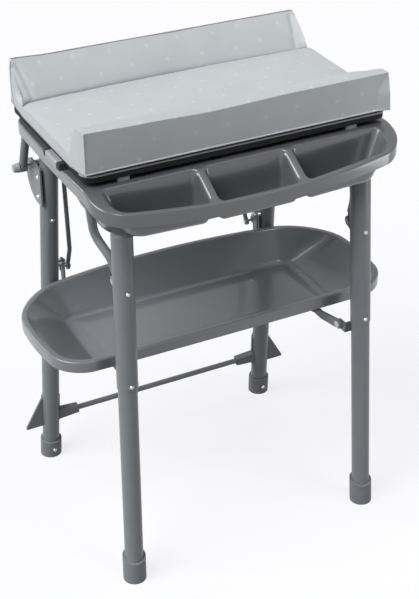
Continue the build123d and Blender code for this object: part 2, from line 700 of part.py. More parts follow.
def slope_sections(drop, limit):
    """Two upright sections between the front's sloping surface, lowered by drop, and a level limit."""
    reach = (SLOPE_END - SLOPE_START) / (TUB_FRONT - SLOPE_START)
    half = TUB_HALF + OVERRUN
    level = RIM_Z - drop
    sections = []
    for place, middle, end in (
        (SLOPE_START, level, level),
        (SLOPE_END, level - FRONT_DROP * reach, level - (FRONT_DROP - FRONT_RISE) * reach),
    ):
        with BuildSketch(Plane.XZ.offset(-place)) as section:
            with BuildLine():
                bowed_side((-half, end), (half, end), end - middle)
                Line((half, end), (half, limit))
                Line((half, limit), (-half, limit))
                Line((-half, limit), (-half, end))
            make_face()
        sections.append(section.sketch)
    return sections


def tub_face(height, inset):
    """Outline of the tub's rim, drawn in by an inset."""
    bows = (TUB_BACK_BOW, TUB_END_BOW, TUB_FRONT_BOW)
    corners = (TUB_BACK_CORNER - inset, TUB_FRONT_CORNER - inset)
    return tray_face(height, TUB_HALF - inset, TUB_BACK - inset, TUB_FRONT + inset, bows, corners)


def basin_face(height, half, back, front, corner, grow):
    """Outline of the basin, grown by a wall."""
    bows = (BASIN_BOW, BASIN_BOW, BASIN_BOW)
    return tray_face(height, half + grow, back + grow, front - grow, bows, (corner + grow, corner + grow))


def bin_face(height, inner, outer, back, front_inset, grow, end_corner):
    """Outline of a compartment between two distances from the middle, grown by a wall."""
    left = inner - grow
    right = outer + grow
    front = TUB_FRONT + front_inset - grow
    inner_front = front + TUB_FRONT_BOW * (inner / TUB_HALF) ** 2
    outer_front = front + TUB_FRONT_BOW * (outer / TUB_HALF) ** 2
    with BuildSketch(Plane.XY.offset(height)) as face:
        with BuildLine():
            Polyline((left, inner_front), (right, outer_front), (right, back + grow), (left, back + grow), close=True)
        make_face()
        fillet(face.vertices().group_by(Axis.X)[-1].sort_by(Axis.Y)[0], end_corner + grow)
        fillet(face.vertices().group_by(Axis.X)[-1].sort_by(Axis.Y)[-1], BIN_CORNER + grow)
        fillet(face.vertices().group_by(Axis.X)[0], BIN_CORNER + grow)
    return face.sketch


def bin_sections(inner, outer, end_draft, end_corner, grow):
    """Floor and mouth outlines of a compartment, the floor drawn in by its draft."""
    floor = bin_face(
        BIN_FLOOR_Z - grow, inner + BIN_DRAFT / 2, outer - end_draft, BIN_BACK - BIN_DRAFT,
        BIN_FRONT_EDGE + BIN_FRONT_DRAFT, grow, end_corner,
    )
    mouth = bin_face(RIM_Z, inner, outer, BIN_BACK, BIN_FRONT_EDGE, grow, end_corner)
    return [floor, mouth]


def bins(grow):
    """The three compartments as solids."""
    gap = DIVIDER_X + DIVIDER / 2
    with BuildPart() as solids:
        loft(sections=bin_sections(gap, BIN_END, BIN_END_DRAFT, BIN_END_CORNER, grow), ruled=True)
        mirror(about=Plane.YZ)
        middle = DIVIDER_X - DIVIDER / 2
        floor = bin_face(
            BIN_FLOOR_Z - grow, BIN_DRAFT / 2 - middle, middle - BIN_DRAFT / 2, BIN_BACK - BIN_DRAFT,
            BIN_FRONT_EDGE + BIN_FRONT_DRAFT, grow, BIN_CORNER,
        )
        mouth = bin_face(RIM_Z, -middle, middle, BIN_BACK, BIN_FRONT_EDGE, grow, BIN_CORNER)
        loft(sections=[floor, mouth], ruled=True)
    return solids.part


# Tub: rim with a hanging skirt, the basin and three compartments behind a sloping front lip
with BuildPart() as rim_hollow:
    extrude(to_extrude=tub_face(TUB_FLOOR - OVERRUN, TUB_WALL), amount=BASIN_DEPTH + OVERRUN - TUB_WALL)
    loft(sections=slope_sections(TUB_WALL, RIM_Z + OVERRUN), ruled=True, mode=Mode.SUBTRACT)
with BuildPart() as tub:
    extrude(to_extrude=tub_face(TUB_FLOOR, 0), amount=BASIN_DEPTH)
    loft(sections=slope_sections(0, RIM_Z + OVERRUN), ruled=True, mode=Mode.SUBTRACT)
    front_low = RIM_Z - FRONT_DROP - OVERRUN
    outline = tub.edges().filter_by(lambda edge: edge.center().Z > front_low)
    fillet(outline.filter_by(lambda edge: abs(edge.center().Y - SLOPE_START) > FIT), RIM_ROUND)
    loft(sections=slope_sections(SKIRT, TUB_FLOOR - OVERRUN), ruled=True, mode=Mode.SUBTRACT)
    with BuildSketch(Plane.XY.offset(TUB_FLOOR - OVERRUN)) as below_skirt:
        with Locations((0, (TUB_BACK + OVERRUN + SLOPE_START) / 2)):
            Rectangle(2 * (TUB_HALF + OVERRUN), TUB_BACK + OVERRUN - SLOPE_START)
    extrude(to_extrude=below_skirt.sketch, amount=BASIN_DEPTH + OVERRUN - SKIRT, mode=Mode.SUBTRACT)
    add(rim_hollow.part, mode=Mode.SUBTRACT)
    wall = TUB_WALL
    floor_outer = basin_face(
        TUB_FLOOR - wall, BASIN_FLOOR_HALF, BASIN_FLOOR_BACK, BASIN_FLOOR_FRONT, BASIN_FLOOR_CORNER, wall,
    )
    mouth_outer = basin_face(RIM_Z - wall / 2, BASIN_HALF, BASIN_BACK, BASIN_FRONT, BASIN_CORNER, wall)
    loft(sections=[floor_outer, mouth_outer], ruled=True)
    add(bins(wall))
    loft(sections=slope_sections(0, RIM_Z + OVERRUN), ruled=True, mode=Mode.SUBTRACT)
    floor_inner = basin_face(
        TUB_FLOOR, BASIN_FLOOR_HALF, BASIN_FLOOR_BACK, BASIN_FLOOR_FRONT, BASIN_FLOOR_CORNER, 0,
    )
    mouth_inner = basin_face(RIM_Z, BASIN_HALF, BASIN_BACK, BASIN_FRONT, BASIN_CORNER, 0)
    loft(sections=[floor_inner, mouth_inner], ruled=True, mode=Mode.SUBTRACT)
    add(bins(0), mode=Mode.SUBTRACT)
    with Locations((DRAIN_X, 0, TUB_FLOOR)):
        Cylinder(DRAIN_RADIUS + DRAIN_WALL + FIT, 4 * wall, mode=Mode.SUBTRACT)
save(tub, "tub")

# Drain: flanged outlet through the tub's floor, its nut underneath and the plug
with BuildPart() as drain_outlet:
    with BuildSketch(Plane.XY.offset(TUB_FLOOR)):
        with Locations((DRAIN_X, 0)):
            Circle(DRAIN_FLANGE)
    extrude(amount=DRAIN_FLANGE_THICK)
    with BuildSketch(Plane.XY.offset(TUB_FLOOR)):
        with Locations((DRAIN_X, 0)):
            Circle(DRAIN_RADIUS + DRAIN_WALL)
    extrude(amount=-DRAIN_LENGTH)
    with BuildSketch(Plane.XY.offset(TUB_FLOOR + DRAIN_FLANGE_THICK)):
        with Locations((DRAIN_X, 0)):
            Circle(DRAIN_RADIUS)
    extrude(amount=-DRAIN_LENGTH - DRAIN_FLANGE_THICK - OVERRUN, mode=Mode.SUBTRACT)
save(drain_outlet, "drain_outlet")
with BuildPart() as drain_nut:
    with BuildSketch(Plane.XY.offset(TUB_FLOOR - TUB_WALL)):
        with Locations((DRAIN_X, 0)):
            RegularPolygon(NUT_RADIUS, 6)
            Circle(DRAIN_RADIUS + DRAIN_WALL + FIT, mode=Mode.SUBTRACT)
    extrude(amount=-NUT_THICK)
save(drain_nut, "drain_nut")
with BuildPart() as drain_plug:
    PLUG_SEAT = TUB_FLOOR + DRAIN_FLANGE_THICK
    with BuildSketch(Plane.XY.offset(PLUG_SEAT)):
        with Locations((DRAIN_X, 0)):
            Circle(DRAIN_RADIUS - RUN)
    extrude(amount=-PLUG_HEIGHT, taper=PLUG_TAPER)
    with BuildSketch(Plane.XY.offset(PLUG_SEAT)):
        with Locations((DRAIN_X, 0)):
            Circle(PLUG_HEAD)
    extrude(amount=PLUG_HEAD_THICK, taper=CAP_TAPER)
    with BuildSketch(Plane.XZ):
        with Locations((DRAIN_X, PLUG_SEAT + PLUG_HEAD_THICK + PULL_RING / 2)):
            Circle(PULL_RING)
            Circle(PULL_RING - 2 * PULL_RING_WIRE, mode=Mode.SUBTRACT)
        with Locations((DRAIN_X, PLUG_SEAT - PULL_RING)):
            Rectangle(2 * PULL_RING, 2 * PULL_RING, mode=Mode.SUBTRACT)
    extrude(amount=PULL_RING_WIRE, both=True)
save(drain_plug, "drain_plug")

# Front legs: a lower tube that runs up inside a wider sleeve
for side, hand in SIDES:
    with BuildPart() as front_leg:
        top = SLEEVE_LOW + SLEEVE_OVERLAP
        on_leg(FRONT, side, FOOT_FLOOR, top, LEG_RADIUS)
        on_leg(FRONT, side, FOOT_FLOOR - OVERRUN, top + OVERRUN, LEG_RADIUS - LEG_WALL, Mode.SUBTRACT)
        screw_hole(face_plane(FRONT, side, FRONT_SCREW_HEIGHTS[0], LEG_RADIUS), LEG_WALL + OVERRUN)
    save(front_leg, f"front_leg_{hand}")
    with BuildPart() as front_sleeve:
        on_leg(FRONT, side, SLEEVE_LOW, FRONT_TOP_Z, SLEEVE_RADIUS)
        on_leg(FRONT, side, SLEEVE_LOW - OVERRUN, FRONT_TOP_Z + OVERRUN, LEG_RADIUS + FIT, Mode.SUBTRACT)
        for height in FRONT_SCREW_HEIGHTS:
            screw_hole(face_plane(FRONT, side, height, SLEEVE_RADIUS), SLEEVE_WALL + OVERRUN)
    save(front_sleeve, f"front_sleeve_{hand}")
with BuildPart() as front_leg_screws:
    for side, hand in SIDES:
        for height in FRONT_SCREW_HEIGHTS:
            screw(face_plane(FRONT, side, height, SLEEVE_RADIUS))
save(front_leg_screws, "front_leg_screws")
with BuildPart() as front_leg_caps:
    for side, hand in SIDES:
        on_leg(FRONT, side, FRONT_TOP_Z, FRONT_TOP_Z + CAP_HEIGHT, SLEEVE_RADIUS, taper=CAP_TAPER)
        on_leg(FRONT, side, FRONT_TOP_Z - CAP_PLUG, FRONT_TOP_Z, LEG_RADIUS)
save(front_leg_caps, "front_leg_caps")

# Channels behind the front legs that hold the carrier tubes' eyes, and their pins
CHEEK_IN = EYE_THICK / 2 + SIDE_GAP
with BuildPart() as pivot_channels:
    leg_back = leg_point(FRONT, 1, PIVOT_Z).Y + SLEEVE_RADIUS
    tall = CHANNEL_HEIGHT / 2
    for side, hand in SIDES:
        for start in (PIVOT_X - CHEEK_IN - CHANNEL_WALL, PIVOT_X + CHEEK_IN):
            with BuildSketch(Plane.YZ.offset(side * start)) as cheek:
                with Locations(PIVOT):
                    Circle(EYE_RADIUS)
                Polygon(
                    (leg_back - CHANNEL_WALL, PIVOT_Z - tall),
                    (leg_back + CHANNEL_WALL, PIVOT_Z - tall),
                    (PIVOT[0], PIVOT_Z - EYE_RADIUS),
                    (PIVOT[0], PIVOT_Z + EYE_RADIUS),
                    (leg_back + CHANNEL_WALL, PIVOT_Z + tall),
                    (leg_back - CHANNEL_WALL, PIVOT_Z + tall),
                    align=None,
                )
            extrude(to_extrude=cheek.sketch, amount=side * CHANNEL_WALL)
        with BuildSketch(Plane.XZ.offset(-leg_back - CHANNEL_WALL)) as web:
            with Locations((side * PIVOT_X, PIVOT_Z)):
                Rectangle(2 * CHEEK_IN + 2 * CHANNEL_WALL, CHANNEL_HEIGHT)
        extrude(to_extrude=web.sketch, amount=2 * CHANNEL_WALL)
        low = PIVOT_X - CHEEK_IN - CHANNEL_WALL - OVERRUN
        high = PIVOT_X + CHEEK_IN + CHANNEL_WALL + OVERRUN
        round_bar(side, low, high, PIVOT, PIVOT_PIN + FIT, Mode.SUBTRACT)
        on_leg(FRONT, side, 0, FRONT_TOP_Z, SLEEVE_RADIUS, Mode.SUBTRACT)
save(pivot_channels, "pivot_channels")
with BuildPart() as pivot_pins:
    for side, hand in SIDES:
        low = PIVOT_X - CHEEK_IN - CHANNEL_WALL
        high = PIVOT_X + CHEEK_IN + CHANNEL_WALL
        round_bar(side, low, high, PIVOT, PIVOT_PIN)
        round_bar(side, low - ROD_CLIP_THICK, low, PIVOT, PIVOT_PIN + ROD_CLIP_THICK)
        round_bar(side, high, high + ROD_CLIP_THICK, PIVOT, PIVOT_PIN + ROD_CLIP_THICK)
save(pivot_pins, "pivot_pins")

# Lugs behind the front legs that carry the shelf's front, and their pins
LUG_X = BAR_X + BAR_THICK + SIDE_GAP
with BuildPart() as shelf_lugs:
    leg = leg_point(FRONT, 1, SHELF_FORE[1])
    leg_back = leg.Y + LEG_RADIUS
    for side, hand in SIDES:
        with BuildSketch(Plane.YZ.offset(side * LUG_X)) as ear:
            with Locations(SHELF_FORE):
                Circle(EYE_RADIUS)
            with Locations(((leg_back + SHELF_FORE[0]) / 2 - LUG_THICK / 2, SHELF_FORE[1])):
                Rectangle(SHELF_FORE[0] - leg_back + LUG_THICK, 2 * EYE_RADIUS)
        extrude(to_extrude=ear.sketch, amount=side * LUG_THICK)
        with BuildSketch(Plane.XZ.offset(-leg_back - LUG_THICK / 2)) as web:
            with Locations((side * (LUG_X + leg.X) / 2, SHELF_FORE[1])):
                Rectangle(leg.X - LUG_X, 2 * EYE_RADIUS)
        extrude(to_extrude=web.sketch, amount=LUG_THICK + LUG_THICK / 2)
        round_bar(side, LUG_X - OVERRUN, LUG_X + LUG_THICK + OVERRUN, SHELF_FORE, SHELF_PIN + FIT, Mode.SUBTRACT)
        on_leg(FRONT, side, 0, SLEEVE_LOW, LEG_RADIUS, Mode.SUBTRACT)
save(shelf_lugs, "shelf_lugs")
with BuildPart() as shelf_lug_pins:
    for side, hand in SIDES:
        low = BAR_X - REST
        high = LUG_X + LUG_THICK
        round_bar(side, low, high, SHELF_FORE, SHELF_PIN)
        round_bar(side, low - HEAD_THICK, low, SHELF_FORE, STUD_RADIUS)
        round_bar(side, high, high + ROD_CLIP_THICK, SHELF_FORE, SHELF_PIN + ROD_CLIP_THICK)
save(shelf_lug_pins, "shelf_lug_pins")


def shelf_face(height, inset):
    """Outline of the shelf's rim, drawn in by an inset."""
    bows = (SHELF_BACK_BOW, SHELF_END_BOW, SHELF_FRONT_BOW)
    corners = (SHELF_BACK_CORNER - inset, SHELF_FRONT_CORNER - inset)
    return tray_face(height, SHELF_HALF - inset, SHELF_BACK - inset, SHELF_FRONT + inset, bows, corners)


def shelf_floor(height, inset):
    """Outline of the shelf's floor, drawn in by an inset."""
    corner = SHELF_FLOOR_CORNER - inset / 2
    bows = (SHELF_FLOOR_BOW, SHELF_FLOOR_BOW, SHELF_FLOOR_BOW)
    back = SHELF_FLOOR_BACK - inset
    front = SHELF_FLOOR_FRONT + inset
    return tray_face(height, SHELF_FLOOR_HALF - inset, back, front, bows, (corner, corner))


# Shelf: contoured tray with sloping walls, a soft rim and a deep lip
SHELF_FLOOR_Z = SHELF_RIM_Z - SHELF_DEPTH
with BuildPart() as shelf_hollow:
    low = SHELF_RIM_Z - SHELF_LIP - OVERRUN
    extrude(to_extrude=shelf_face(low, SHELF_WALL), amount=SHELF_RIM_Z - SHELF_WALL - low)
with BuildPart() as shelf:
    extrude(to_extrude=shelf_face(SHELF_RIM_Z - SHELF_LIP, 0), amount=SHELF_LIP)
    fillet(shelf.edges().group_by(Axis.Z)[-1], RIM_ROUND)
    add(shelf_hollow.part, mode=Mode.SUBTRACT)
    floor_outer = shelf_floor(SHELF_FLOOR_Z - SHELF_WALL, -SHELF_WALL)
    mouth_outer = shelf_face(SHELF_RIM_Z - SHELF_WALL / 2, SHELF_RIM_WIDTH - SHELF_WALL)
    loft(sections=[floor_outer, mouth_outer], ruled=True)
    loft(
        sections=[shelf_floor(SHELF_FLOOR_Z, 0), shelf_face(SHELF_RIM_Z, SHELF_RIM_WIDTH)],
        ruled=True,
        mode=Mode.SUBTRACT,
    )
    extrude(to_extrude=shelf_floor(SHELF_FLOOR_Z, SHELF_PANEL_INSET), amount=SHELF_PANEL_RISE)
save(shelf, "shelf")

# Angle bars under the shelf, with an ear for each pivot
for side, hand in SIDES:
    middle = SHELF_FLOOR_Z - SHELF_WALL - BAR_DEPTH / 2
    front_knee = (SHELF_FLOOR_FRONT - BAR_DEPTH / 2, middle)
    rear_knee = (SHELF_FLOOR_BACK + BAR_DEPTH / 2, middle)
    ear_root = (SHELF_REAR[0] - HEAD_THICK, SHELF_RIM_Z - SHELF_LIP - HEAD_THICK)
    with BuildPart() as shelf_bar:
        with BuildSketch(Plane.YZ.offset(side * BAR_X)):
            capsule(SHELF_FORE, front_knee, EYE_RADIUS, BAR_DEPTH / 2 - REST)
            with Locations(((front_knee[0] + rear_knee[0]) / 2, middle)):
                SlotCenterToCenter(rear_knee[0] - front_knee[0], BAR_DEPTH)
            capsule(rear_knee, ear_root, BAR_DEPTH / 2 - REST, STUD_RADIUS - REST)
            capsule(ear_root, SHELF_REAR, STUD_RADIUS, EYE_RADIUS)
            capsule(ROD_FOOT, SHELF_REAR, STUD_RADIUS, EYE_RADIUS - REST)
        extrude(amount=side * BAR_THICK)
        with BuildSketch(Plane.XY.offset(SHELF_FLOOR_Z - SHELF_WALL)):
            with Locations((side * (BAR_X + BAR_THICK - BAR_DEPTH / 2), (front_knee[0] + rear_knee[0]) / 2)):
                Rectangle(BAR_DEPTH, rear_knee[0] - front_knee[0] - BAR_DEPTH)
        extrude(amount=-BAR_THICK)
        low = BAR_X - OVERRUN
        high = BAR_X + BAR_THICK + OVERRUN
        round_bar(side, low, high, SHELF_FORE, SHELF_PIN + OPEN_RUN, Mode.SUBTRACT)
        round_bar(side, low, high, SHELF_REAR, SHELF_PIN + RUN, Mode.SUBTRACT)
        round_bar(side, low, high, ROD_FOOT, ROD_PIN + FIT, Mode.SUBTRACT)
    save(shelf_bar, f"shelf_bar_{hand}")

# Changing board: a flat tray turned over, ribbed underneath, notched round its hinge blocks
POCKET_BACK = TOP_HINGE[0] - TOP_HINGE_SETBACK - NOTCH_GAP - BOARD_RIB
POCKET_FRONT = BOARD_FRONT + BOARD_RIB + FRONT_BUFFER_SIZE[1]
with BuildPart() as changing_board:
    board_corners = (BOARD_CORNER, BOARD_CORNER)
    outline = tray_face(BOARD_Z, BOARD_HALF, BOARD_BACK, BOARD_FRONT, (0, 0, 0), board_corners)
    extrude(to_extrude=outline, amount=BOARD_THICK)
    columns, rows = BOARD_POCKET_COUNTS
    pitch_x = 2 * (BOARD_HALF - BOARD_RIB) / columns
    pitch_y = (POCKET_BACK - POCKET_FRONT) / rows
    with BuildSketch(Plane.XY.offset(BOARD_Z)):
        with Locations((0, (POCKET_BACK + POCKET_FRONT) / 2)):
            with GridLocations(pitch_x, pitch_y, columns, rows):
                Rectangle(pitch_x - BOARD_RIB, pitch_y - BOARD_RIB)
    extrude(amount=BOARD_THICK - BOARD_SKIN, mode=Mode.SUBTRACT)
    notch_depth = BOARD_BACK - POCKET_BACK - BOARD_RIB
    with BuildSketch(Plane.XY.offset(BOARD_Z)):
        for side, hand in SIDES:
            with Locations((side * TOP_HINGE_X, BOARD_BACK - notch_depth / 2 + OVERRUN / 2)):
                Rectangle(TOP_HINGE_WIDTH + 2 * NOTCH_GAP, notch_depth + OVERRUN)
    extrude(amount=BOARD_THICK, mode=Mode.SUBTRACT)
    for side, hand in SIDES:
        reach = TOP_HINGE_WIDTH / 2 + TOP_HINGE_SETBACK + OVERRUN
        round_bar(side, TOP_HINGE_X - reach, TOP_HINGE_X + reach, TOP_HINGE, TOP_PIN + FIT, Mode.SUBTRACT)
save(changing_board, "changing_board")

# Hinge blocks on the tub's rim and the board's hinge pins
with BuildPart() as top_hinge_blocks:
    for side, hand in SIDES:
        start = TOP_HINGE_X - TOP_HINGE_WIDTH / 2
        with BuildSketch(Plane.YZ.offset(side * start)) as block:
            with Locations(TOP_HINGE):
                Circle(TOP_HINGE_ROUND)
            Polygon(
                (TOP_HINGE[0] - TOP_HINGE_ROUND - TOP_PIN, RIM_Z),
                (TOP_HINGE[0] + TOP_PIN, RIM_Z),
                (TOP_HINGE[0] + TOP_HINGE_ROUND, TOP_HINGE[1]),
                (TOP_HINGE[0] - TOP_HINGE_ROUND, TOP_HINGE[1]),
                align=None,
            )
        extrude(to_extrude=block.sketch, amount=side * TOP_HINGE_WIDTH)
        low = start - OVERRUN
        high = start + TOP_HINGE_WIDTH + OVERRUN
        round_bar(side, low, high, TOP_HINGE, TOP_PIN + RUN, Mode.SUBTRACT)
save(top_hinge_blocks, "top_hinge_blocks")
with BuildPart() as top_hinge_pins:
    for side, hand in SIDES:
        reach = TOP_HINGE_WIDTH / 2 + TOP_HINGE_SETBACK
        round_bar(side, TOP_HINGE_X - reach, TOP_HINGE_X + reach, TOP_HINGE, TOP_PIN)
save(top_hinge_pins, "top_hinge_pins")

# Buffers between the board's front and the tub's rim
with BuildPart() as front_buffers:
    for side, hand in SIDES:
        with BuildSketch(Plane.XY.offset(BOARD_Z)) as buffer:
            with Locations((side * FRONT_BUFFER_X, BOARD_FRONT + FRONT_BUFFER_SETBACK)):
                RectangleRounded(*FRONT_BUFFER_SIZE, CATCH_ROUND)
        extrude(to_extrude=buffer.sketch, amount=REST - BUFFER_HEIGHT)
save(front_buffers, "front_buffers")


def catch_outline(side, shrink):
    """L-shaped section of a side catch: a tongue under the board and a block beside it."""
    low = RIM_Z + REST
    high = low + CATCH_HEIGHT - shrink
    Polygon(
        (side * (BOARD_HALF - CATCH_TONGUE), low),
        (side * (CATCH_OUT - shrink), low),
        (side * (CATCH_OUT - shrink), high),
        (side * (BOARD_HALF + REST), high),
        (side * (BOARD_HALF + REST), BOARD_Z),
        (side * (BOARD_HALF - CATCH_TONGUE), BOARD_Z),
        align=None,
    )


# Side catches: blocks at the board's ends that sit on the tub's rim, with a soft grip at each end
for side, hand in SIDES:
    body_half = CATCH_LENGTH / 2 - CATCH_GRIP
    with BuildPart() as side_catch:
        with BuildSketch(Plane.XZ.offset(-CATCH_Y)):
            catch_outline(side, 0)
        extrude(amount=body_half, both=True)
        top_edges = side_catch.edges().filter_by(Axis.Y).group_by(Axis.Z)[-1]
        fillet(top_edges.sort_by(lambda edge: -abs(edge.center().X))[0], CATCH_ROUND)
    save(side_catch, f"side_catch_{hand}")
with BuildPart() as catch_grips:
    for side, hand in SIDES:
        for step in (-1, 1):
            start = CATCH_Y + step * (CATCH_LENGTH / 2 - CATCH_GRIP)
            with BuildSketch(Plane.XZ.offset(-start)) as grip:
                catch_outline(side, SIDE_GAP)
            extrude(to_extrude=grip.sketch, amount=-step * CATCH_GRIP)
save(catch_grips, "catch_grips")


def mat_section(place, draw, crown):
    """Upright section of the mat across its length, with shares of the end's draw-in and of the crown."""
    inset = MAT_END_DRAW * draw
    back = MAT_BACK - inset
    front = MAT_FRONT + inset
    low = MAT_Z
    flat = MAT_Z + MAT_THICK - inset / 2
    high = MAT_Z + MAT_ROLL - inset
    rear_foot = (back - MAT_BACK_SLOPE, flat)
    front_foot = (front + MAT_FRONT_SLOPE, flat)
    with BuildSketch(Plane.YZ.offset(place)) as section:
        with BuildLine():
            Line((front, low), (back, low))
            Line((back, low), (back, high - MAT_SHOULDER))
            ThreePointArc(
                (back, high - MAT_SHOULDER),
                (back - MAT_SHOULDER * MAT_TOP_SHARE, high),
                (back - 2 * MAT_SHOULDER, high - MAT_SHOULDER),
            )
            Line((back - 2 * MAT_SHOULDER, high - MAT_SHOULDER), rear_foot)
            ThreePointArc(rear_foot, (0, flat + MAT_CROWN * crown), front_foot)
            Line(front_foot, (front + MAT_FRONT_TOP, high - 2 * MAT_SHOULDER))
            ThreePointArc(
                (front + MAT_FRONT_TOP, high - 2 * MAT_SHOULDER),
                (front + MAT_FRONT_TOP / 2, high),
                (front, high - MAT_SHOULDER),
            )
            Line((front, high - MAT_SHOULDER), (front, low))
        make_face()
        fillet(section.vertices().group_by(Axis.Y)[0], MAT_EDGE)
    return section.sketch


# Mat: one padded piece with a slanting roll at the back and a fuller roll at the front
with BuildPart() as mat:
    left = [mat_section(-MAT_HALF * place, draw, crown) for place, draw, crown in MAT_STATION_SHARES]
    right = [mat_section(MAT_HALF * place, draw, crown) for place, draw, crown in MAT_STATION_SHARES[::-1]]
    loft(sections=left + [mat_section(0, 0, 1)] + right, ruled=True)
save(mat, "mat")
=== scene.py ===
import math

import bmesh
import bpy
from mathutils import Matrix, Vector, noise
from mathutils.geometry import delaunay_2d_cdt


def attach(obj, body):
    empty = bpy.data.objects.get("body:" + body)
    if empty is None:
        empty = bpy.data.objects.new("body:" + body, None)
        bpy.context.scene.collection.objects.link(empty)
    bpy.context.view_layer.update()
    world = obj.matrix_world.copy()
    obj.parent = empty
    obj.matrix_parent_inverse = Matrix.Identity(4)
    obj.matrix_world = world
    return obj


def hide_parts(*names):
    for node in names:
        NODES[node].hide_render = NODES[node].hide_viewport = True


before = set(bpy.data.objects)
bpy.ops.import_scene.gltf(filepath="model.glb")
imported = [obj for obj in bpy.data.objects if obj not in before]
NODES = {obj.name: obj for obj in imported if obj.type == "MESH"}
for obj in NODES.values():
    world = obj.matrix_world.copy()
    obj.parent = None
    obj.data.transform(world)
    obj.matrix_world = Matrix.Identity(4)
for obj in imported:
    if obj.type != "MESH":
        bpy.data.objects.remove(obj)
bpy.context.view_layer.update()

# Camera: a long lens a little above an adult's head, in front of the stand's left leg and looking
# down on it. The lens is given for a 36 mm sensor along the picture's long side.
CAMERA_PLACE = Vector((-1.1770, -2.3355, 2.1178))
CAMERA_AZIMUTH = math.radians(-27.13)
CAMERA_ELEVATION = math.radians(31.91)
CAMERA_LENS_MM = 84.3


def place_object(name, data):
    """An object with its data, put in the scene."""
    made = bpy.data.objects.new(name, data)
    bpy.context.scene.collection.objects.link(made)
    return made


camera = place_object("camera", bpy.data.cameras.new("camera"))
camera.data.lens = CAMERA_LENS_MM
backward = Vector((
    math.sin(CAMERA_AZIMUTH) * math.cos(CAMERA_ELEVATION),
    -math.cos(CAMERA_AZIMUTH) * math.cos(CAMERA_ELEVATION),
    math.sin(CAMERA_ELEVATION),
))
camera.location = CAMERA_PLACE
camera.rotation_euler = (-backward).to_track_quat("-Z", "Y").to_euler()
bpy.context.scene.camera = camera
bpy.context.scene.view_settings.view_transform = "Standard"

# Floor: a plain white studio floor, which throws less light back up than it shows, so that the
# front of the stand stays in shade.
FLOOR_HALF = 30
FLOOR_COLOUR, FLOOR_BOUNCE, FLOOR_GLOW = "f4f4f6", "646466", "fdfdff"
FLOOR_GLOW_SHARE = 0.8


def tone(code):
    """Linear colour of a six-digit sRGB hex code."""
    parts = [int(code[start:start + 2], 16) / 255 for start in (0, 2, 4)]
    linear = [
        part / 12.92 if part <= 0.04045 else ((part + 0.055) / 1.055) ** 2.4 for part in parts
    ]
    return (*linear, 1)


def add_node(tree, kind, settings=None, links=None):
    """A node with its settings. Its inputs, by name or number, are joined or set to values."""
    made = tree.nodes.new(kind)
    for name, value in (settings or {}).items():
        setattr(made, name, value)
    for name, value in (links or {}).items():
        if isinstance(value, bpy.types.NodeSocket):
            tree.links.new(value, made.inputs[name])
        else:
            made.inputs[name].default_value = value
    return made


def seen_outright(tree):
    """1 for rays from the camera or off a shiny surface, 0 for all others."""
    rays = add_node(tree, "ShaderNodeLightPath")
    either = add_node(tree, "ShaderNodeMath", {"operation": "MAXIMUM"}, {
        0: rays.outputs["Is Camera Ray"], 1: rays.outputs["Is Glossy Ray"],
    })
    return either.outputs[0]


floor_mesh = bmesh.new()
bmesh.ops.create_grid(floor_mesh, x_segments=2, y_segments=2, size=FLOOR_HALF)
floor_data = bpy.data.meshes.new("studio_floor")
floor_mesh.to_mesh(floor_data)
floor_mesh.free()
studio_floor = place_object("studio_floor", floor_data)
floor_paint = bpy.data.materials.new("studio_floor_paint")
floor_paint.use_nodes = True
tree = floor_paint.node_tree
tree.nodes.clear()
seen = seen_outright(tree)
bounce = add_node(tree, "ShaderNodeMix", {"data_type": "RGBA"}, {
    0: seen, 6: tone(FLOOR_BOUNCE), 7: tone(FLOOR_COLOUR),
})
matt = add_node(tree, "ShaderNodeBsdfDiffuse", None, {"Color": bounce.outputs[2]})
glow = add_node(tree, "ShaderNodeEmission", None, {"Color": tone(FLOOR_GLOW), "Strength": 1.0})
lift = add_node(tree, "ShaderNodeMath", {"operation": "MULTIPLY"}, {0: seen, 1: FLOOR_GLOW_SHARE})
blend = add_node(tree, "ShaderNodeMixShader", None, {
    0: lift.outputs[0], 1: matt.outputs[0], 2: glow.outputs[0],
})
add_node(tree, "ShaderNodeOutputMaterial", None, {"Surface": blend.outputs[0]})
studio_floor.data.materials.append(floor_paint)

# Light: a white surround with weak even light, and a broad soft lamp high at the left end. Small
# weak lamps, high in front and low behind, draw the shine on rounded edges, and a near one lights
# the right front.
SURROUND_LIGHT = 0.15
CEILING_SHINE, CEILING_LEVEL = 0.8, 0.5
# Each sun's name, strength, spread in degrees and the direction that it comes from.
SUNS = (
    ("soft_lamp", 3.4, 50, (-0.69, -0.105, 0.716)),
    ("front_lamp", 0.45, 12, (0.20, -0.35, 0.90)),
    ("back_lamp", 0.35, 12, (-0.474, 0.755, 0.449)),
)
SIDE_POWER, SIDE_SIZE = 2.3, 0.4
SIDE_PLACE, SIDE_AIM = Vector((0.95, -0.85, 0.62)), Vector((0.10, -0.1, 0.62))

surround = bpy.data.worlds.new("surround")
bpy.context.scene.world = surround
surround.use_nodes = True
tree = surround.node_tree
tree.nodes.clear()
way = add_node(tree, "ShaderNodeTexCoord")
level = add_node(tree, "ShaderNodeSeparateXYZ", None, {"Vector": way.outputs["Generated"]})
backdrop = add_node(tree, "ShaderNodeMapRange", None, {
    "Value": level.outputs["Z"], "From Min": 0.0, "From Max": CEILING_LEVEL,
    "To Min": 1.0, "To Max": CEILING_SHINE,
})
shine = add_node(tree, "ShaderNodeMapRange", None, {
    "Value": seen_outright(tree), "To Min": SURROUND_LIGHT, "To Max": backdrop.outputs[0],
})
sky = add_node(tree, "ShaderNodeBackground", None, {"Strength": shine.outputs[0]})
add_node(tree, "ShaderNodeOutputWorld", None, {"Surface": sky.outputs[0]})

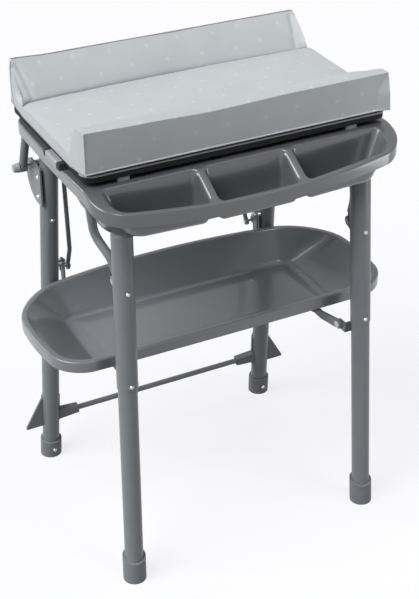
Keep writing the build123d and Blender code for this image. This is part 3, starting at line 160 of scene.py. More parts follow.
for name, strength, spread, source in SUNS:
    lamp = place_object(name, bpy.data.lights.new(name, "SUN"))
    lamp.data.energy = strength
    lamp.data.angle = math.radians(spread)
    lamp.rotation_euler = Vector(source).to_track_quat("Z", "Y").to_euler()
side_lamp = place_object("side_lamp", bpy.data.lights.new("side_lamp", "AREA"))
side_lamp.data.energy = SIDE_POWER
side_lamp.data.size = SIDE_SIZE
side_lamp.location = SIDE_PLACE
side_lamp.rotation_euler = (SIDE_PLACE - SIDE_AIM).to_track_quat("Z", "Y").to_euler()

# Frame: drawn steel tube and folded steel plate with a satin grey powder coat, which flows out in
# the oven and leaves a fine orange peel. It gives soft, slightly wavy highlights down each tube.
STAIN_DETAIL, STAIN_ROUGHNESS, STAIN_LOW, STAIN_HIGH = 4.0, 0.6, 0.3, 0.7
GRAIN_DETAIL, GRAIN_STRENGTH = 2.0, 0.5


def finish_material(name, settings, colour, stain, grain=None):
    """A shiny-to-matt surface: a colour with a faint mottle, and a fine raised grain.

    stain is (second colour, patch size in mm, share); grain is (cell size in mm, height in mm)."""
    made = bpy.data.materials.new(name)
    made.use_nodes = True
    tree = made.node_tree
    surface = tree.nodes["Principled BSDF"]
    for socket, value in settings.items():
        surface.inputs[socket].default_value = value
    surface.inputs["Base Color"].default_value = tone(colour)
    spot = add_node(tree, "ShaderNodeTexCoord").outputs["Object"]
    second, patch, share = stain
    cloud = add_node(tree, "ShaderNodeTexNoise", None, {
        "Vector": spot, "Scale": 1000 / patch, "Detail": STAIN_DETAIL, "Roughness": STAIN_ROUGHNESS,
    })
    spread = add_node(tree, "ShaderNodeMapRange", None, {
        "Value": cloud.outputs["Fac"], "From Min": STAIN_LOW, "From Max": STAIN_HIGH, "To Max": share,
    })
    mottled = add_node(tree, "ShaderNodeMix", {"data_type": "RGBA"}, {
        0: spread.outputs[0], 6: tone(colour), 7: tone(second),
    })
    tree.links.new(mottled.outputs[2], surface.inputs["Base Color"])
    if grain:
        cell, height = grain
        pits = add_node(tree, "ShaderNodeTexNoise", None, {
            "Vector": spot, "Scale": 1000 / cell, "Detail": GRAIN_DETAIL,
        })
        bump = add_node(tree, "ShaderNodeBump", None, {
            "Height": pits.outputs["Fac"], "Strength": GRAIN_STRENGTH, "Distance": height / 1000,
        })
        tree.links.new(bump.outputs[0], surface.inputs["Normal"])
    return made


def dress(material, *names):
    """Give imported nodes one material."""
    for name in names:
        data = NODES[name].data
        data.materials.clear()
        data.materials.append(material)


powder_coat = finish_material(
    "powder_coated_steel", {"Roughness": 0.36, "Specular IOR Level": 0.5}, "7d8184",
    stain=("73777d", 60, 0.5), grain=(3.0, 0.12),
)
dress(
    powder_coat, "rear_leg_left", "rear_leg_right", "front_leg_left", "front_leg_right",
    "front_sleeve_left", "front_sleeve_right", "hinge_bracket_left", "hinge_bracket_right",
    "stabilizer_bar", "cross_tube", "rod_cranks", "carrier_tube_left", "carrier_tube_right",
    "tub_supports", "pivot_channels", "shelf_lugs", "shelf_bar_left", "shelf_bar_right",
    "link_rod_left", "link_rod_right",
)

# Feet, caps and brackets of the frame: moulded in a plain grey plastic with a spark-eroded
# texture, drawn coarser than it is so that it shows, which looks duller than the tubes.
textured_plastic = finish_material(
    "textured_grey_plastic", {"Roughness": 0.55}, "787c80",
    stain=("6c7074", 40, 0.5), grain=(1.8, 0.15),
)
dress(
    textured_plastic, "rear_foot_left", "rear_foot_right", "front_foot_left", "front_foot_right",
    "rear_leg_caps", "front_leg_caps", "stabilizer_bracket_left", "stabilizer_bracket_right",
    "tube_saddles", "cross_tube_bushes",
)

# Screws, rivets and pins: cold-headed steel with a bright zinc plate, a little clouded
# where it was handled.
zinc_plate = finish_material(
    "bright_zinc_plate", {"Metallic": 1.0, "Roughness": 0.28}, "d4d6d8", stain=("a9adb2", 6, 0.6),
)
dress(
    zinc_plate, "rear_screws", "bracket_rivets", "hinge_pins", "shelf_studs", "crank_pins",
    "front_leg_screws", "pivot_pins", "shelf_lug_pins", "shelf_rod_pins", "top_hinge_pins",
)

# Hinge knobs, side catches and front buffers: small parts moulded in a light grey plastic, which
# has a soft shine.
light_plastic = finish_material(
    "light_grey_plastic", {"Roughness": 0.35}, "a4a8ab",
    stain=("969a9e", 20, 0.5), grain=(1.5, 0.08),
)
dress(light_plastic, "hinge_knobs", "side_catch_left", "side_catch_right", "front_buffers")

# Grips at the ends of the side catches and the drain's plug: black rubber, dull and faintly
# bloomed.
black_rubber = finish_material(
    "black_rubber", {"Roughness": 0.7}, "2a2c2e", stain=("3a3d40", 8, 0.6), grain=(1.2, 0.1),
)
dress(black_rubber, "catch_grips", "drain_plug")

# Changing board: a dark tray moulded in matt plastic, with its open ribs underneath. Only its edge
# shows below the mat, and it is drawn near black: painted shade for the shadowed gap above the tub.
board_plastic_gap_shade = finish_material(
    "board_plastic_painted_gap_shade", {"Roughness": 0.7, "Specular IOR Level": 0.25}, "121314",
    stain=("0f1011", 50, 0.5), grain=(2.0, 0.12),
)
dress(board_plastic_gap_shade, "changing_board")

# Drain fitting and the board's hinge blocks: moulded in the tub's own glossy grey plastic, whose
# shine has long, soft waves in it.
tub_plastic = finish_material(
    "glossy_moulded_plastic",
    {"Roughness": 0.3, "Specular IOR Level": 0.7, "Coat Weight": 0.8, "Coat Roughness": 0.1},
    "5d6164", stain=("585c5f", 120, 0.6), grain=(14.0, 0.12),
)
dress(tub_plastic, "drain_outlet", "drain_nut", "top_hinge_blocks")

# Tub: one glossy grey moulding with a rim, a hanging skirt, the bath and three compartments
# behind a lip that slopes down to the front. Edges are well rounded so that the mould lets go.
RIM_Z = 0.920
TUB_WALL = 0.0035
SKIRT_DEPTH, SKIRT_STEPS = 0.026, 3
TUB_HALF, TUB_BACK, TUB_FRONT = 0.338, 0.200, -0.269
TUB_BOWS = (0.0, 0.005, 0.017)
TUB_CORNERS = (0.046, 0.050)
SLOPE_START = -0.184
LIP_DROP, LIP_RISE = 0.048, 0.022
SLOPE_HALF = 0.343
OUTER_ROUND, MOUTH_ROUND = 0.0042, 0.0034
LEFT_FACE_ROUND, LEFT_FACE_SHIFT, LEFT_FACE_FADE = 0.0095, 0.006, 3
BATH_MOUTH = (0.293, 0.165, -0.160, 0.080)
BATH_FLOOR = (0.246, 0.108, -0.112, 0.062)
BATH_BOWS = (0.003, 0.003, 0.003)
BATH_FLOOR_Z, BATH_FOOT_ROUND = 0.750, 0.022
DRAIN_PLACE, DRAIN_HOLE, DRAIN_STEPS = Vector((0.170, 0.0)), 0.0146, 32
BIN_BACK, BIN_EDGE, BIN_FLOOR_Z = -0.190, 0.008, 0.836
BIN_DRAFT, BIN_END_DRAFT, BIN_FRONT_DRAFT = 0.011, 0.034, 0.003
BIN_INNER, BIN_END, BIN_MIDDLE = 0.102, 0.303, 0.090
BIN_CORNER, BIN_END_CORNER, BIN_FOOT_ROUND = 0.010, 0.034, 0.009

# How finely the mouldings are divided: points along the sides of each outline, over each corner,
# over each rounded edge and down each wall, and the spacing of points on level faces.
TUB_SIDES, BATH_SIDES, BIN_SIDES = (30, 50, 30, 50), (16, 30, 16, 30), (6, 16, 6, 16)
CORNER_STEPS, ROUND_STEPS, WALL_STEPS = 9, 4, 6
BATH_SPACING, BIN_SPACING, RIM_SPACING = 0.030, 0.020, 0.014
MERGE_GAP, THIN_EDGE, CUT_GAP = 1e-5, 1e-6, 1e-7
SHELL_SHARP = math.radians(40)


def rounded_polygon(corners, radii, counts):
    """Plan outline, anticlockwise, of a polygon with round corners and evenly divided sides."""
    arcs = []
    for index, corner in enumerate(corners):
        here = Vector(corner)
        back = (Vector(corners[index - 1]) - here).normalized()
        ahead = (Vector(corners[(index + 1) % len(corners)]) - here).normalized()
        half_angle = back.angle(ahead) / 2
        reach = radii[index] / math.tan(half_angle)
        centre = here + (back + ahead).normalized() * (radii[index] / math.sin(half_angle))
        first, last = here + back * reach - centre, here + ahead * reach - centre
        sweep = first.angle(last)
        arc = []
        for step in range(CORNER_STEPS + 1):
            share = step / CORNER_STEPS
            reached = first * math.sin((1 - share) * sweep) + last * math.sin(share * sweep)
            arc.append(centre + reached / math.sin(sweep))
        arcs.append(arc)
    outline = []
    for index, arc in enumerate(arcs):
        outline += arc
        start, end = arc[-1], arcs[(index + 1) % len(arcs)][0]
        outline += [start.lerp(end, step / counts[index]) for step in range(1, counts[index])]
    return outline


def bowed_outline(half, back, front, bows, radii, counts):
    """Plan outline of a tray: a rectangle with round corners whose sides bow outward."""
    back_bow, end_bow, front_bow = bows
    right, high, low = half - end_bow, back - back_bow, front + front_bow
    middle, reach = (high + low) / 2, (high - low) / 2
    corners = [(right, low), (right, high), (-right, high), (-right, low)]
    outline = rounded_polygon(corners, (radii[1], radii[0], radii[0], radii[1]), counts)
    bowed = []
    for point in outline:
        across, along = point.x / right, (point.y - middle) / reach
        bow = back_bow if along > 0 else -front_bow
        bowed.append(Vector((
            point.x + end_bow * across * (1 - along * along),
            point.y + bow * abs(along) * (1 - across * across),
        )))
    return bowed


def hollow_outline(sizes, bows, counts):
    """Plan outline of a hollow, from its half width, back, front and corner radius."""
    half, back, front, corner = sizes
    return bowed_outline(half, back, front, bows, (corner, corner), counts)


def outward(outline):
    """Plan normals of a closed anticlockwise outline."""
    normals = []
    for index in range(len(outline)):
        along = outline[(index + 1) % len(outline)] - outline[index - 1]
        normals.append(Vector((along.y, -along.x)).normalized())
    return normals


def offset(outline, distance):
    """The outline moved outward by a distance."""
    return [point + normal * distance for point, normal in zip(outline, outward(outline))]


def bend(start, corner, end, steps):
    """Points on a smooth curve that rounds a corner."""
    return [
        start.lerp(corner, step / steps).lerp(corner.lerp(end, step / steps), step / steps)
        for step in range(steps + 1)
    ]


def skirt_rows(rim, top, depth):
    """Rows of points from the deck over its rounded outer edge and down the skirt."""
    columns = []
    for point, normal in zip(rim, outward(rim)):
        inner = point - normal * OUTER_ROUND
        edge = Vector((*point, top(*point)))
        start, end = Vector((*inner, top(*inner))), edge - Vector((0, 0, OUTER_ROUND))
        column = bend(start, edge, end, ROUND_STEPS)
        for step in range(1, SKIRT_STEPS + 1):
            column.append(edge - Vector((0, 0, depth * step / SKIRT_STEPS)))
        columns.append(column)
    return [list(row) for row in zip(*columns)]


def mouth_lip(mouth, extra=0.0):
    """A hollow's mouth widened by its rounding, which may be wider where its wall faces left."""
    outs = outward(mouth)
    widths = [MOUTH_ROUND + extra * max(0.0, out.x) ** LEFT_FACE_FADE for out in outs]
    return [point + out * width for point, out, width in zip(mouth, outs, widths)]


def hollow_rows(mouth, foot, top, foot_z, foot_round, extra=0.0):
    """Rows of points over a hollow's rounded mouth, down its wall and into its floor."""
    columns = []
    for point, lip, under, out in zip(mouth, mouth_lip(mouth, extra), foot, outward(foot)):
        edge = Vector((*point, top(*point)))
        heel = Vector((*under, foot_z))
        wall = (heel - edge).normalized()
        high, low = edge + wall * (lip - point).length, heel - wall * foot_round
        column = bend(Vector((*lip, top(*lip))), edge, high, ROUND_STEPS)
        column += [high.lerp(low, step / WALL_STEPS) for step in range(1, WALL_STEPS)]
        floor_start = Vector((*(under - out * foot_round), foot_z))
        column += bend(low, heel, floor_start, 2 * ROUND_STEPS)
        columns.append(column)
    return [list(row) for row in zip(*columns)]


def inside(point, outline):
    """True if a plan point lies inside a closed outline."""
    crossings = False
    for index, end in enumerate(outline):
        start = outline[index - 1]
        if (start.y > point.y) != (end.y > point.y):
            if point.x < start.x + (point.y - start.y) * (end.x - start.x) / (end.y - start.y):
                crossings = not crossings
    return crossings


def add_rows(mesh, rows):
    """Join rows of points with quads into the mesh."""
    made = [[mesh.verts.new(point) for point in row] for row in rows]
    for upper, lower in zip(made, made[1:]):
        for index in range(len(upper)):
            following = (index + 1) % len(upper)
            mesh.faces.new((upper[index], upper[following], lower[following], lower[index]))


def add_deck(mesh, rim, holes, top, spacing):
    """Fill the face between an outline and its holes, with points over its whole area."""
    points = list(rim)
    edges = []
    start = 0
    for loop in (rim, *holes):
        if loop is not rim:
            start = len(points)
            points += loop
        edges += [(start + index, start + (index + 1) % len(loop)) for index in range(len(loop))]
    low = [min(point[axis] for point in rim) for axis in (0, 1)]
    high = [max(point[axis] for point in rim) for axis in (0, 1)]
    margin = spacing / 3
    tight_rim = offset(rim, -margin)
    wide_holes = [offset(hole, margin) for hole in holes]
    for column in range(1, int((high[0] - low[0]) / spacing) + 1):
        for row in range(1, int((high[1] - low[1]) / spacing) + 1):
            point = Vector((low[0] + column * spacing, low[1] + row * spacing))
            if inside(point, tight_rim) and not any(inside(point, hole) for hole in wide_holes):
                points.append(point)
    flat, _, faces, _, _, _ = delaunay_2d_cdt(points, edges, [], 1, CUT_GAP)
    verts = [mesh.verts.new((*point, top(*point))) for point in flat]
    for face in faces:
        centre = sum((flat[corner] for corner in face), Vector((0, 0))) / len(face)
        if not any(inside(centre, hole) for hole in holes):
            mesh.faces.new([verts[corner] for corner in face])


def bake_modifiers(piece):
    """Make what a piece's modifiers do part of its mesh."""
    graph = bpy.context.evaluated_depsgraph_get()
    piece.data = bpy.data.meshes.new_from_object(piece.evaluated_get(graph))
    piece.data.name = piece.name
    piece.modifiers.clear()


def shell_piece(name, mesh, wall, material):
    """A moulding of even wall below its show face, as one closed mesh with smooth shading."""
    bmesh.ops.remove_doubles(mesh, verts=mesh.verts, dist=MERGE_GAP)
    bmesh.ops.dissolve_degenerate(mesh, edges=mesh.edges, dist=THIN_EDGE)
    bmesh.ops.recalc_face_normals(mesh, faces=mesh.faces)
    if sum(face.normal.z * face.calc_area() for face in mesh.faces) < 0:
        bmesh.ops.reverse_faces(mesh, faces=mesh.faces)
    data = bpy.data.meshes.new(name)
    mesh.to_mesh(data)
    mesh.free()
    data.materials.append(material)
    piece = place_object(name, data)
    thicken = piece.modifiers.new("wall", "SOLIDIFY")
    thicken.thickness = wall
    thicken.offset = -1
    bake_modifiers(piece)
    piece.data.shade_smooth()
    piece.data.set_sharp_from_angle(angle=SHELL_SHARP)
    return piece


def rim_height(x, y):
    """Height of the tub's top face: level, then sloping down to a lip lowest in its middle."""
    share = max(0.0, (SLOPE_START - y) / (SLOPE_START - TUB_FRONT))
    return RIM_Z - share * (LIP_DROP - LIP_RISE * (x / SLOPE_HALF) ** 2)


def bin_outline(inner, outer, back, front_inset, corner_radii):
    """Plan outline of a compartment, its front following the lip's bow."""
    front = [TUB_FRONT + front_inset + TUB_BOWS[2] * (x / TUB_HALF) ** 2 for x in (inner, outer)]
    corners = [(outer, front[1]), (outer, back), (inner, back), (inner, front[0])]
    return rounded_polygon(corners, corner_radii, BIN_SIDES)


tub_mesh = bmesh.new()
tub_rim = bowed_outline(TUB_HALF, TUB_BACK, TUB_FRONT, TUB_BOWS, TUB_CORNERS, TUB_SIDES)
add_rows(tub_mesh, skirt_rows(tub_rim, rim_height, SKIRT_DEPTH))
bath_mouth = hollow_outline(BATH_MOUTH, BATH_BOWS, BATH_SIDES)
bath_foot = hollow_outline(BATH_FLOOR, BATH_BOWS, BATH_SIDES)
add_rows(tub_mesh, hollow_rows(bath_mouth, bath_foot, rim_height, BATH_FLOOR_Z, BATH_FOOT_ROUND))
drain_turns = [2 * math.pi * step / DRAIN_STEPS for step in range(DRAIN_STEPS)]
drain_hole = [
    DRAIN_PLACE + DRAIN_HOLE * Vector((math.cos(turn), math.sin(turn))) for turn in drain_turns
]
bath_floor = offset(bath_foot, -BATH_FOOT_ROUND)
add_deck(tub_mesh, bath_floor, [drain_hole], lambda x, y: BATH_FLOOR_Z, BATH_SPACING)
mouths = [mouth_lip(bath_mouth)]
end_radii = (BIN_END_CORNER, BIN_CORNER, BIN_CORNER, BIN_CORNER)
mid_radii = (BIN_CORNER,) * 4
for side in (-1, 0, 1):
    shift = LEFT_FACE_SHIFT if side < 1 else 0
    if side:
        inner = BIN_INNER + shift
        mouth = bin_outline(inner, BIN_END, BIN_BACK, BIN_EDGE, end_radii)
        foot = bin_outline(
            inner + BIN_DRAFT / 2, BIN_END - BIN_END_DRAFT, BIN_BACK - BIN_DRAFT,
            BIN_EDGE + BIN_FRONT_DRAFT, end_radii,
        )
    else:
        mouth = bin_outline(-BIN_MIDDLE, BIN_MIDDLE - shift, BIN_BACK, BIN_EDGE, mid_radii)
        foot = bin_outline(
            BIN_DRAFT / 2 - BIN_MIDDLE, BIN_MIDDLE - shift - BIN_DRAFT / 2, BIN_BACK - BIN_DRAFT,
            BIN_EDGE + BIN_FRONT_DRAFT, mid_radii,
        )
    if side < 0:
        mouth, foot = [
            [Vector((-point.x, point.y)) for point in reversed(outline)] for outline in (mouth, foot)
        ]
    extra = LEFT_FACE_ROUND - MOUTH_ROUND if side < 1 else 0.0
    add_rows(tub_mesh, hollow_rows(mouth, foot, rim_height, BIN_FLOOR_Z, BIN_FOOT_ROUND, extra))
    bin_floor = offset(foot, -BIN_FOOT_ROUND)
    add_deck(tub_mesh, bin_floor, [], lambda x, y: BIN_FLOOR_Z, BIN_SPACING)
    mouths.append(mouth_lip(mouth, extra))
add_deck(tub_mesh, offset(tub_rim, -OUTER_ROUND), mouths, rim_height, RIM_SPACING)
tub_shell = shell_piece("tub_shell", tub_mesh, TUB_WALL, tub_plastic)
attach(tub_shell, "tub_frame")
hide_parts("tub")

# Shelf: one glossy grey moulding, a deep tray with sloping walls, a rolled rim with a hanging lip
# and a slightly raised floor panel.
SHELF_RIM_Z, SHELF_FLOOR_Z, SHELF_LIP = 0.520, 0.455, 0.025
SHELF_HALF, SHELF_BACK, SHELF_FRONT = 0.399, 0.197, -0.158
SHELF_BOWS = (0.046, 0.020, 0.003)
SHELF_CORNERS = (0.105, 0.062)
SHELF_RIM_WIDTH, SHELF_WALL = 0.012, 0.0035
SHELF_FLOOR = (0.284, 0.116, -0.100, 0.026)
SHELF_FLOOR_BOWS = (0.002, 0.002, 0.002)
SHELF_FOOT_ROUND = 0.010
PANEL_INSET, PANEL_RISE, PANEL_EDGE = 0.006, 0.0022, 0.003
SHELF_SIDES, SHELF_SPACING, PANEL_SPACING = (20, 44, 20, 44), 0.020, 0.030


def shelf_height(x, y):
    """Height of the shelf's rim, level all round."""
    return SHELF_RIM_Z


shelf_mesh = bmesh.new()
shelf_rim = bowed_outline(
    SHELF_HALF, SHELF_BACK, SHELF_FRONT, SHELF_BOWS, SHELF_CORNERS, SHELF_SIDES,
)
add_rows(shelf_mesh, skirt_rows(shelf_rim, shelf_height, SHELF_LIP))
shelf_mouth = bowed_outline(
    SHELF_HALF - SHELF_RIM_WIDTH, SHELF_BACK - SHELF_RIM_WIDTH, SHELF_FRONT + SHELF_RIM_WIDTH,
    SHELF_BOWS, [radius - SHELF_RIM_WIDTH for radius in SHELF_CORNERS], SHELF_SIDES,
)
shelf_foot = hollow_outline(SHELF_FLOOR, SHELF_FLOOR_BOWS, SHELF_SIDES)
add_rows(shelf_mesh, hollow_rows(
    shelf_mouth, shelf_foot, shelf_height, SHELF_FLOOR_Z, SHELF_FOOT_ROUND,
))
shelf_deck = offset(shelf_rim, -OUTER_ROUND)
add_deck(shelf_mesh, shelf_deck, [mouth_lip(shelf_mouth)], shelf_height, SHELF_SPACING)
panel_rings = []
for inset, rise in ((0, 0), (PANEL_INSET, 0), (PANEL_INSET + PANEL_EDGE, PANEL_RISE)):
    ring = offset(shelf_foot, -SHELF_FOOT_ROUND - inset)
    panel_rings.append([Vector((*point, SHELF_FLOOR_Z + rise)) for point in ring])
add_rows(shelf_mesh, panel_rings)
panel_edge = [point.to_2d() for point in panel_rings[-1]]
add_deck(shelf_mesh, panel_edge, [], lambda x, y: SHELF_FLOOR_Z + PANEL_RISE, PANEL_SPACING)

# The shelf's plastic is drawn a shade paler than the tub's: painted light that makes up for the
# shade the tub casts on it. It has the same long, soft waves in its shine.
shelf_plastic_painted_light = finish_material(
    "glossy_shelf_plastic_painted_light",
    {"Roughness": 0.28, "Specular IOR Level": 0.6, "Coat Weight": 0.5, "Coat Roughness": 0.12},
    "787c80", stain=("72767a", 120, 0.6), grain=(14.0, 0.12),
)
shelf_tray = shell_piece("shelf_tray", shelf_mesh, SHELF_WALL, shelf_plastic_painted_light)
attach(shelf_tray, "shelf")
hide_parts("shelf")

# Mat: foam with a wedge along its rear edge and a roll along its front edge, in a cover of coated
# fabric. The cover is welded along its edges and across at the foot of each roll, which pulls it
# tight there, and its spare corners are folded over and tucked in at the ends.
MAT_HALF, MAT_BACK, MAT_FRONT = 0.330, 0.205, -0.184
MAT_LOW, MAT_FLAT = 0.9503, 0.9683
MAT_CROWN, CROWN_FLATNESS, CROWN_END_CURVE = 0.005, 0.6, 4
MAT_REAR_FOOT, MAT_FOOT_DRAW, MAT_FRONT_FOOT = 0.148, 0.008, -0.122
ROLL_CROWN_Y, ROLL_TURN = -0.158, math.radians(80)
WEDGE_TOP_Z, WEDGE_CURVE, WEDGE_END_CURVE = 1.0325, 0.84, 0.14
# Heights along the mat, as pairs of a place across the stand and a level above the floor.
REAR_EDGE = ((-0.33, 1.0385), (-0.24, 1.0345), (0.1, 1.0325), (0.33, 1.0315))
FRONT_EDGE = ((-0.33, 1.0350), (-0.2, 1.0310), (-0.07, 1.0268), (0.12, 1.0300), (0.33, 1.0300))
ROLL_CROWN = (
    (-0.33, 1.0350), (-0.2, 1.0330), (0.0, 1.0325), (0.14, 1.0325), (0.25, 1.0340), (0.31, 1.0285),
    (0.33, 1.0265),
)
WELD_DEPTH, END_BULGE, END_BULGE_CURVE, END_STEP, END_HEM = 0.0024, 0.004, 0.3, 0.0035, 0.008
# How much of the end's bulge and hem each zone has where it starts and where it stops.
HEM_SHARES = {
    "front_roll": (0.0, 0.4), "roll_slope": (0.4, 1.0), "flat": (1.0, 1.0), "wedge": (1.0, 0.0),
}
END_TUCK_START, END_TUCK_DRAW = 0.308, 0.010
RIGHT_DRAW = {"front_roll": 0.006, "roll_slope": 0.006, "wedge": 0.004, "flat": 0.0}
MAT_COLUMNS, MAT_ROWS, UNDERSIDE_CELL = 88, 8, 0.0075
MAT_ZONES = (("front_roll", 4), ("roll_slope", 9), ("flat", 36), ("wedge", 12))


def table_value(table, place):
    """Value of a table at a place, smoothly joined from entry to entry."""
    for (low, first), (high, second) in zip(table, table[1:]):
        if place <= high:
            share = min(1.0, max(0.0, (place - low) / (high - low)))
            return first + (second - first) * share * share * (3 - 2 * share)
    return table[-1][1]


def rear_foot_at(x):
    """Where the wedge's foot runs: drawn forward towards the ends, and more by the left tuck."""
    tuck = max(0.0, (-x - END_TUCK_START) / (MAT_HALF - END_TUCK_START))
    return MAT_REAR_FOOT - MAT_FOOT_DRAW * (x / MAT_HALF) ** 2 - END_TUCK_DRAW * tuck * tuck


def mat_top(x, zone, share):
    """Place of a point on the mat's upper side, by its zone across the mat."""
    across = x / MAT_HALF
    rear_foot = rear_foot_at(x)
    if zone == "front_roll":
        edge, crown = table_value(FRONT_EDGE, x), table_value(ROLL_CROWN, x)
        y = MAT_FRONT + (ROLL_CROWN_Y - MAT_FRONT) * share
        return Vector((x, y, edge + (crown - edge) * math.sin(share * math.pi / 2)))
    if zone == "roll_slope":
        turn = share * ROLL_TURN
        fall = (1 - math.cos(turn)) / (1 - math.cos(ROLL_TURN))
        y = ROLL_CROWN_Y + (MAT_FRONT_FOOT - ROLL_CROWN_Y) * math.sin(turn) / math.sin(ROLL_TURN)
        return Vector((x, y, table_value(ROLL_CROWN, x) * (1 - fall) + MAT_FLAT * fall))
    if zone == "flat":
        crown = MAT_CROWN * (1 - across ** CROWN_END_CURVE)
        rise = crown * math.sin(share * math.pi) ** CROWN_FLATNESS
        y = MAT_FRONT_FOOT + (rear_foot - MAT_FRONT_FOOT) * share
        return Vector((x, y, MAT_FLAT + rise))
    lift = share ** (WEDGE_CURVE + WEDGE_END_CURVE * across * across)
    edge = table_value(REAR_EDGE, x)
    y = rear_foot + (MAT_BACK - rear_foot) * share
    return Vector((x, y, MAT_FLAT + (edge - MAT_FLAT) * lift))


mat_stations = [(zone, step / steps) for zone, steps in MAT_ZONES for step in range(steps)]
mat_stations.append(("wedge", 1.0))
weld_stations = [mat_stations.index((zone, 0.0)) for zone in ("flat", "wedge")]
mat_depth = len(mat_stations) - 1
mat_arc = [0.0]
for here, following in zip(mat_stations, mat_stations[1:]):
    mat_arc.append(mat_arc[-1] + (mat_top(0, *following) - mat_top(0, *here)).length)

mat_points, mat_places = [], {}


def mat_corner(column, station, row):
    """Index of the mat's grid point at a column, a station across and a row up."""
    if (column, station, row) not in mat_places:
        zone, share = mat_stations[station]
        height = row / MAT_ROWS
        start, end = HEM_SHARES[zone]
        hem = start + (end - start) * share
        half = MAT_HALF + END_BULGE * hem ** END_BULGE_CURVE
        if column == MAT_COLUMNS:
            half -= RIGHT_DRAW[zone] * height
        inner = half - END_STEP
        x = inner * (2 * (column - 1) / (MAT_COLUMNS - 2) - 1)
        low = MAT_LOW
        if column in (0, MAT_COLUMNS):
            x = math.copysign(half, column - 1)
            low -= END_HEM * hem
        top = mat_top(x, zone, share)
        if station in weld_stations:
            top.z -= WELD_DEPTH
        mat_places[column, station, row] = len(mat_points)
        mat_points.append(Vector((x, top.y, low + (top.z - low) * height)))
    return mat_places[column, station, row]


def cloth_place(column, station, row):
    """Place on the flat cloth: along the mat, and round it from the front edge."""
    point = mat_points[mat_corner(column, station, row)]
    drop = mat_points[mat_corner(column, station, MAT_ROWS)].z - point.z
    across, around = point.x, mat_arc[station]
    if column in (0, MAT_COLUMNS):
        across += math.copysign(drop, point.x)
    if station == mat_depth:
        around += drop
    if station == 0:
        around -= drop
    return (across, around)


def underside_place(column, station, row):
    """Place of the underside on the cloth, clear of the rest of the cover."""
    return (column * UNDERSIDE_CELL, station * UNDERSIDE_CELL - 1)


mat_faces, mat_patches = [], []


def add_patch(first_count, second_count, place, patch):
    """Quads over one side of the mat. place gives a grid point, patch its place on the cloth."""
    for first in range(first_count):
        for second in range(second_count):
            steps = [(first, second), (first + 1, second), (first + 1, second + 1), (first, second + 1)]
            mat_faces.append([mat_corner(*place(*step)) for step in steps])
            mat_patches.append([patch(*place(*step)) for step in steps])


add_patch(MAT_COLUMNS, mat_depth, lambda a, b: (a, b, MAT_ROWS), cloth_place)
add_patch(mat_depth, MAT_COLUMNS, lambda a, b: (b, a, 0), underside_place)
add_patch(MAT_ROWS, MAT_COLUMNS, lambda a, b: (b, 0, MAT_ROWS - a), cloth_place)
add_patch(MAT_COLUMNS, MAT_ROWS, lambda a, b: (a, mat_depth, MAT_ROWS - b), cloth_place)
add_patch(mat_depth, MAT_ROWS, lambda a, b: (0, a, MAT_ROWS - b), cloth_place)
add_patch(MAT_ROWS, mat_depth, lambda a, b: (MAT_COLUMNS, b, MAT_ROWS - a), cloth_place)
mat_data = bpy.data.meshes.new("mat_pad")
mat_data.from_pydata(mat_points, [], mat_faces)
cloth_map = mat_data.uv_layers.new(name="cloth")
for face, patch in zip(mat_data.polygons, mat_patches):
    for loop, place in zip(face.loop_indices, patch):
        cloth_map.data[loop].uv = place
mat_pad = place_object("mat_pad", mat_data)

# The foam presses the cover out between its welds.
SWELL_FRAMES, SWELL_PRESSURE, SWELL_CAP = 20, 4.0, 0.0035
CLOTH_QUALITY, CLOTH_MASS = 6, 0.3
CLOTH_STRETCH, CLOTH_SHEAR, CLOTH_BENDING = 40, 20, 4


def swell(piece, held_points):
    """Let a closed cover swell by cloth simulation, held at its welds, by no more than a cap."""
    held = piece.vertex_groups.new(name="held")
    held.add(held_points, 1.0, "REPLACE")
    rest = [vertex.co.copy() for vertex in piece.data.vertices]
    cloth = piece.modifiers.new("cloth", "CLOTH")
    cloth.point_cache.frame_end = SWELL_FRAMES
    settings = cloth.settings
    settings.quality, settings.mass = CLOTH_QUALITY, CLOTH_MASS
    settings.tension_stiffness = settings.compression_stiffness = CLOTH_STRETCH
    settings.shear_stiffness, settings.bending_stiffness = CLOTH_SHEAR, CLOTH_BENDING
    settings.use_pressure, settings.uniform_pressure_force = True, SWELL_PRESSURE
    settings.vertex_group_mass = held.name
    settings.effector_weights.gravity = 0
    for number in range(1, SWELL_FRAMES + 1):
        bpy.context.scene.frame_set(number)
    graph = bpy.context.evaluated_depsgraph_get()
    swollen = [vertex.co.copy() for vertex in piece.evaluated_get(graph).data.vertices]
    piece.modifiers.remove(cloth)
    bpy.context.scene.frame_set(1)
    for vertex, start, end in zip(piece.data.vertices, rest, swollen):
        shift = end - start
        if shift.length > 0:
            vertex.co = start + shift * (SWELL_CAP * math.tanh(shift.length / SWELL_CAP) / shift.length)


seam_points = {
    index for (column, station, row), index in mat_places.items()
    if row == 0 or row == MAT_ROWS and (
        column in (0, MAT_COLUMNS) or station in (0, mat_depth) or station in weld_stations)
    or column in (0, MAT_COLUMNS) and station in (0, mat_depth)
}
swell(mat_pad, sorted(seam_points))

# Edges and welds stay crisp, but for the upper edge of the wedge's left end, which is soft.
EDGE_CREASE, WELD_CREASE = 0.85, 0.7

edge_points = {
    index for (column, station, row), index in mat_places.items()
    if (column in (0, MAT_COLUMNS)) + (station in (0, mat_depth)) + (row in (0, MAT_ROWS)) > 1
    and not (column == 0 and row == MAT_ROWS and mat_stations[station][0] == "wedge")
}
weld_points = {
    index for (column, station, row), index in mat_places.items()
    if row == MAT_ROWS and station in weld_stations
}
crease = mat_data.attributes.new("crease_edge", "FLOAT", "EDGE")
for edge in mat_data.edges:
    ends = set(edge.vertices)
    if ends <= edge_points:
        crease.data[edge.index].value = EDGE_CREASE
    elif ends <= weld_points:
        crease.data[edge.index].value = WELD_CREASE
finer = mat_pad.modifiers.new("finer", "SUBSURF")
finer.levels = finer.render_levels = 1
bake_modifiers(mat_pad)
mat_pad.vertex_groups.clear()

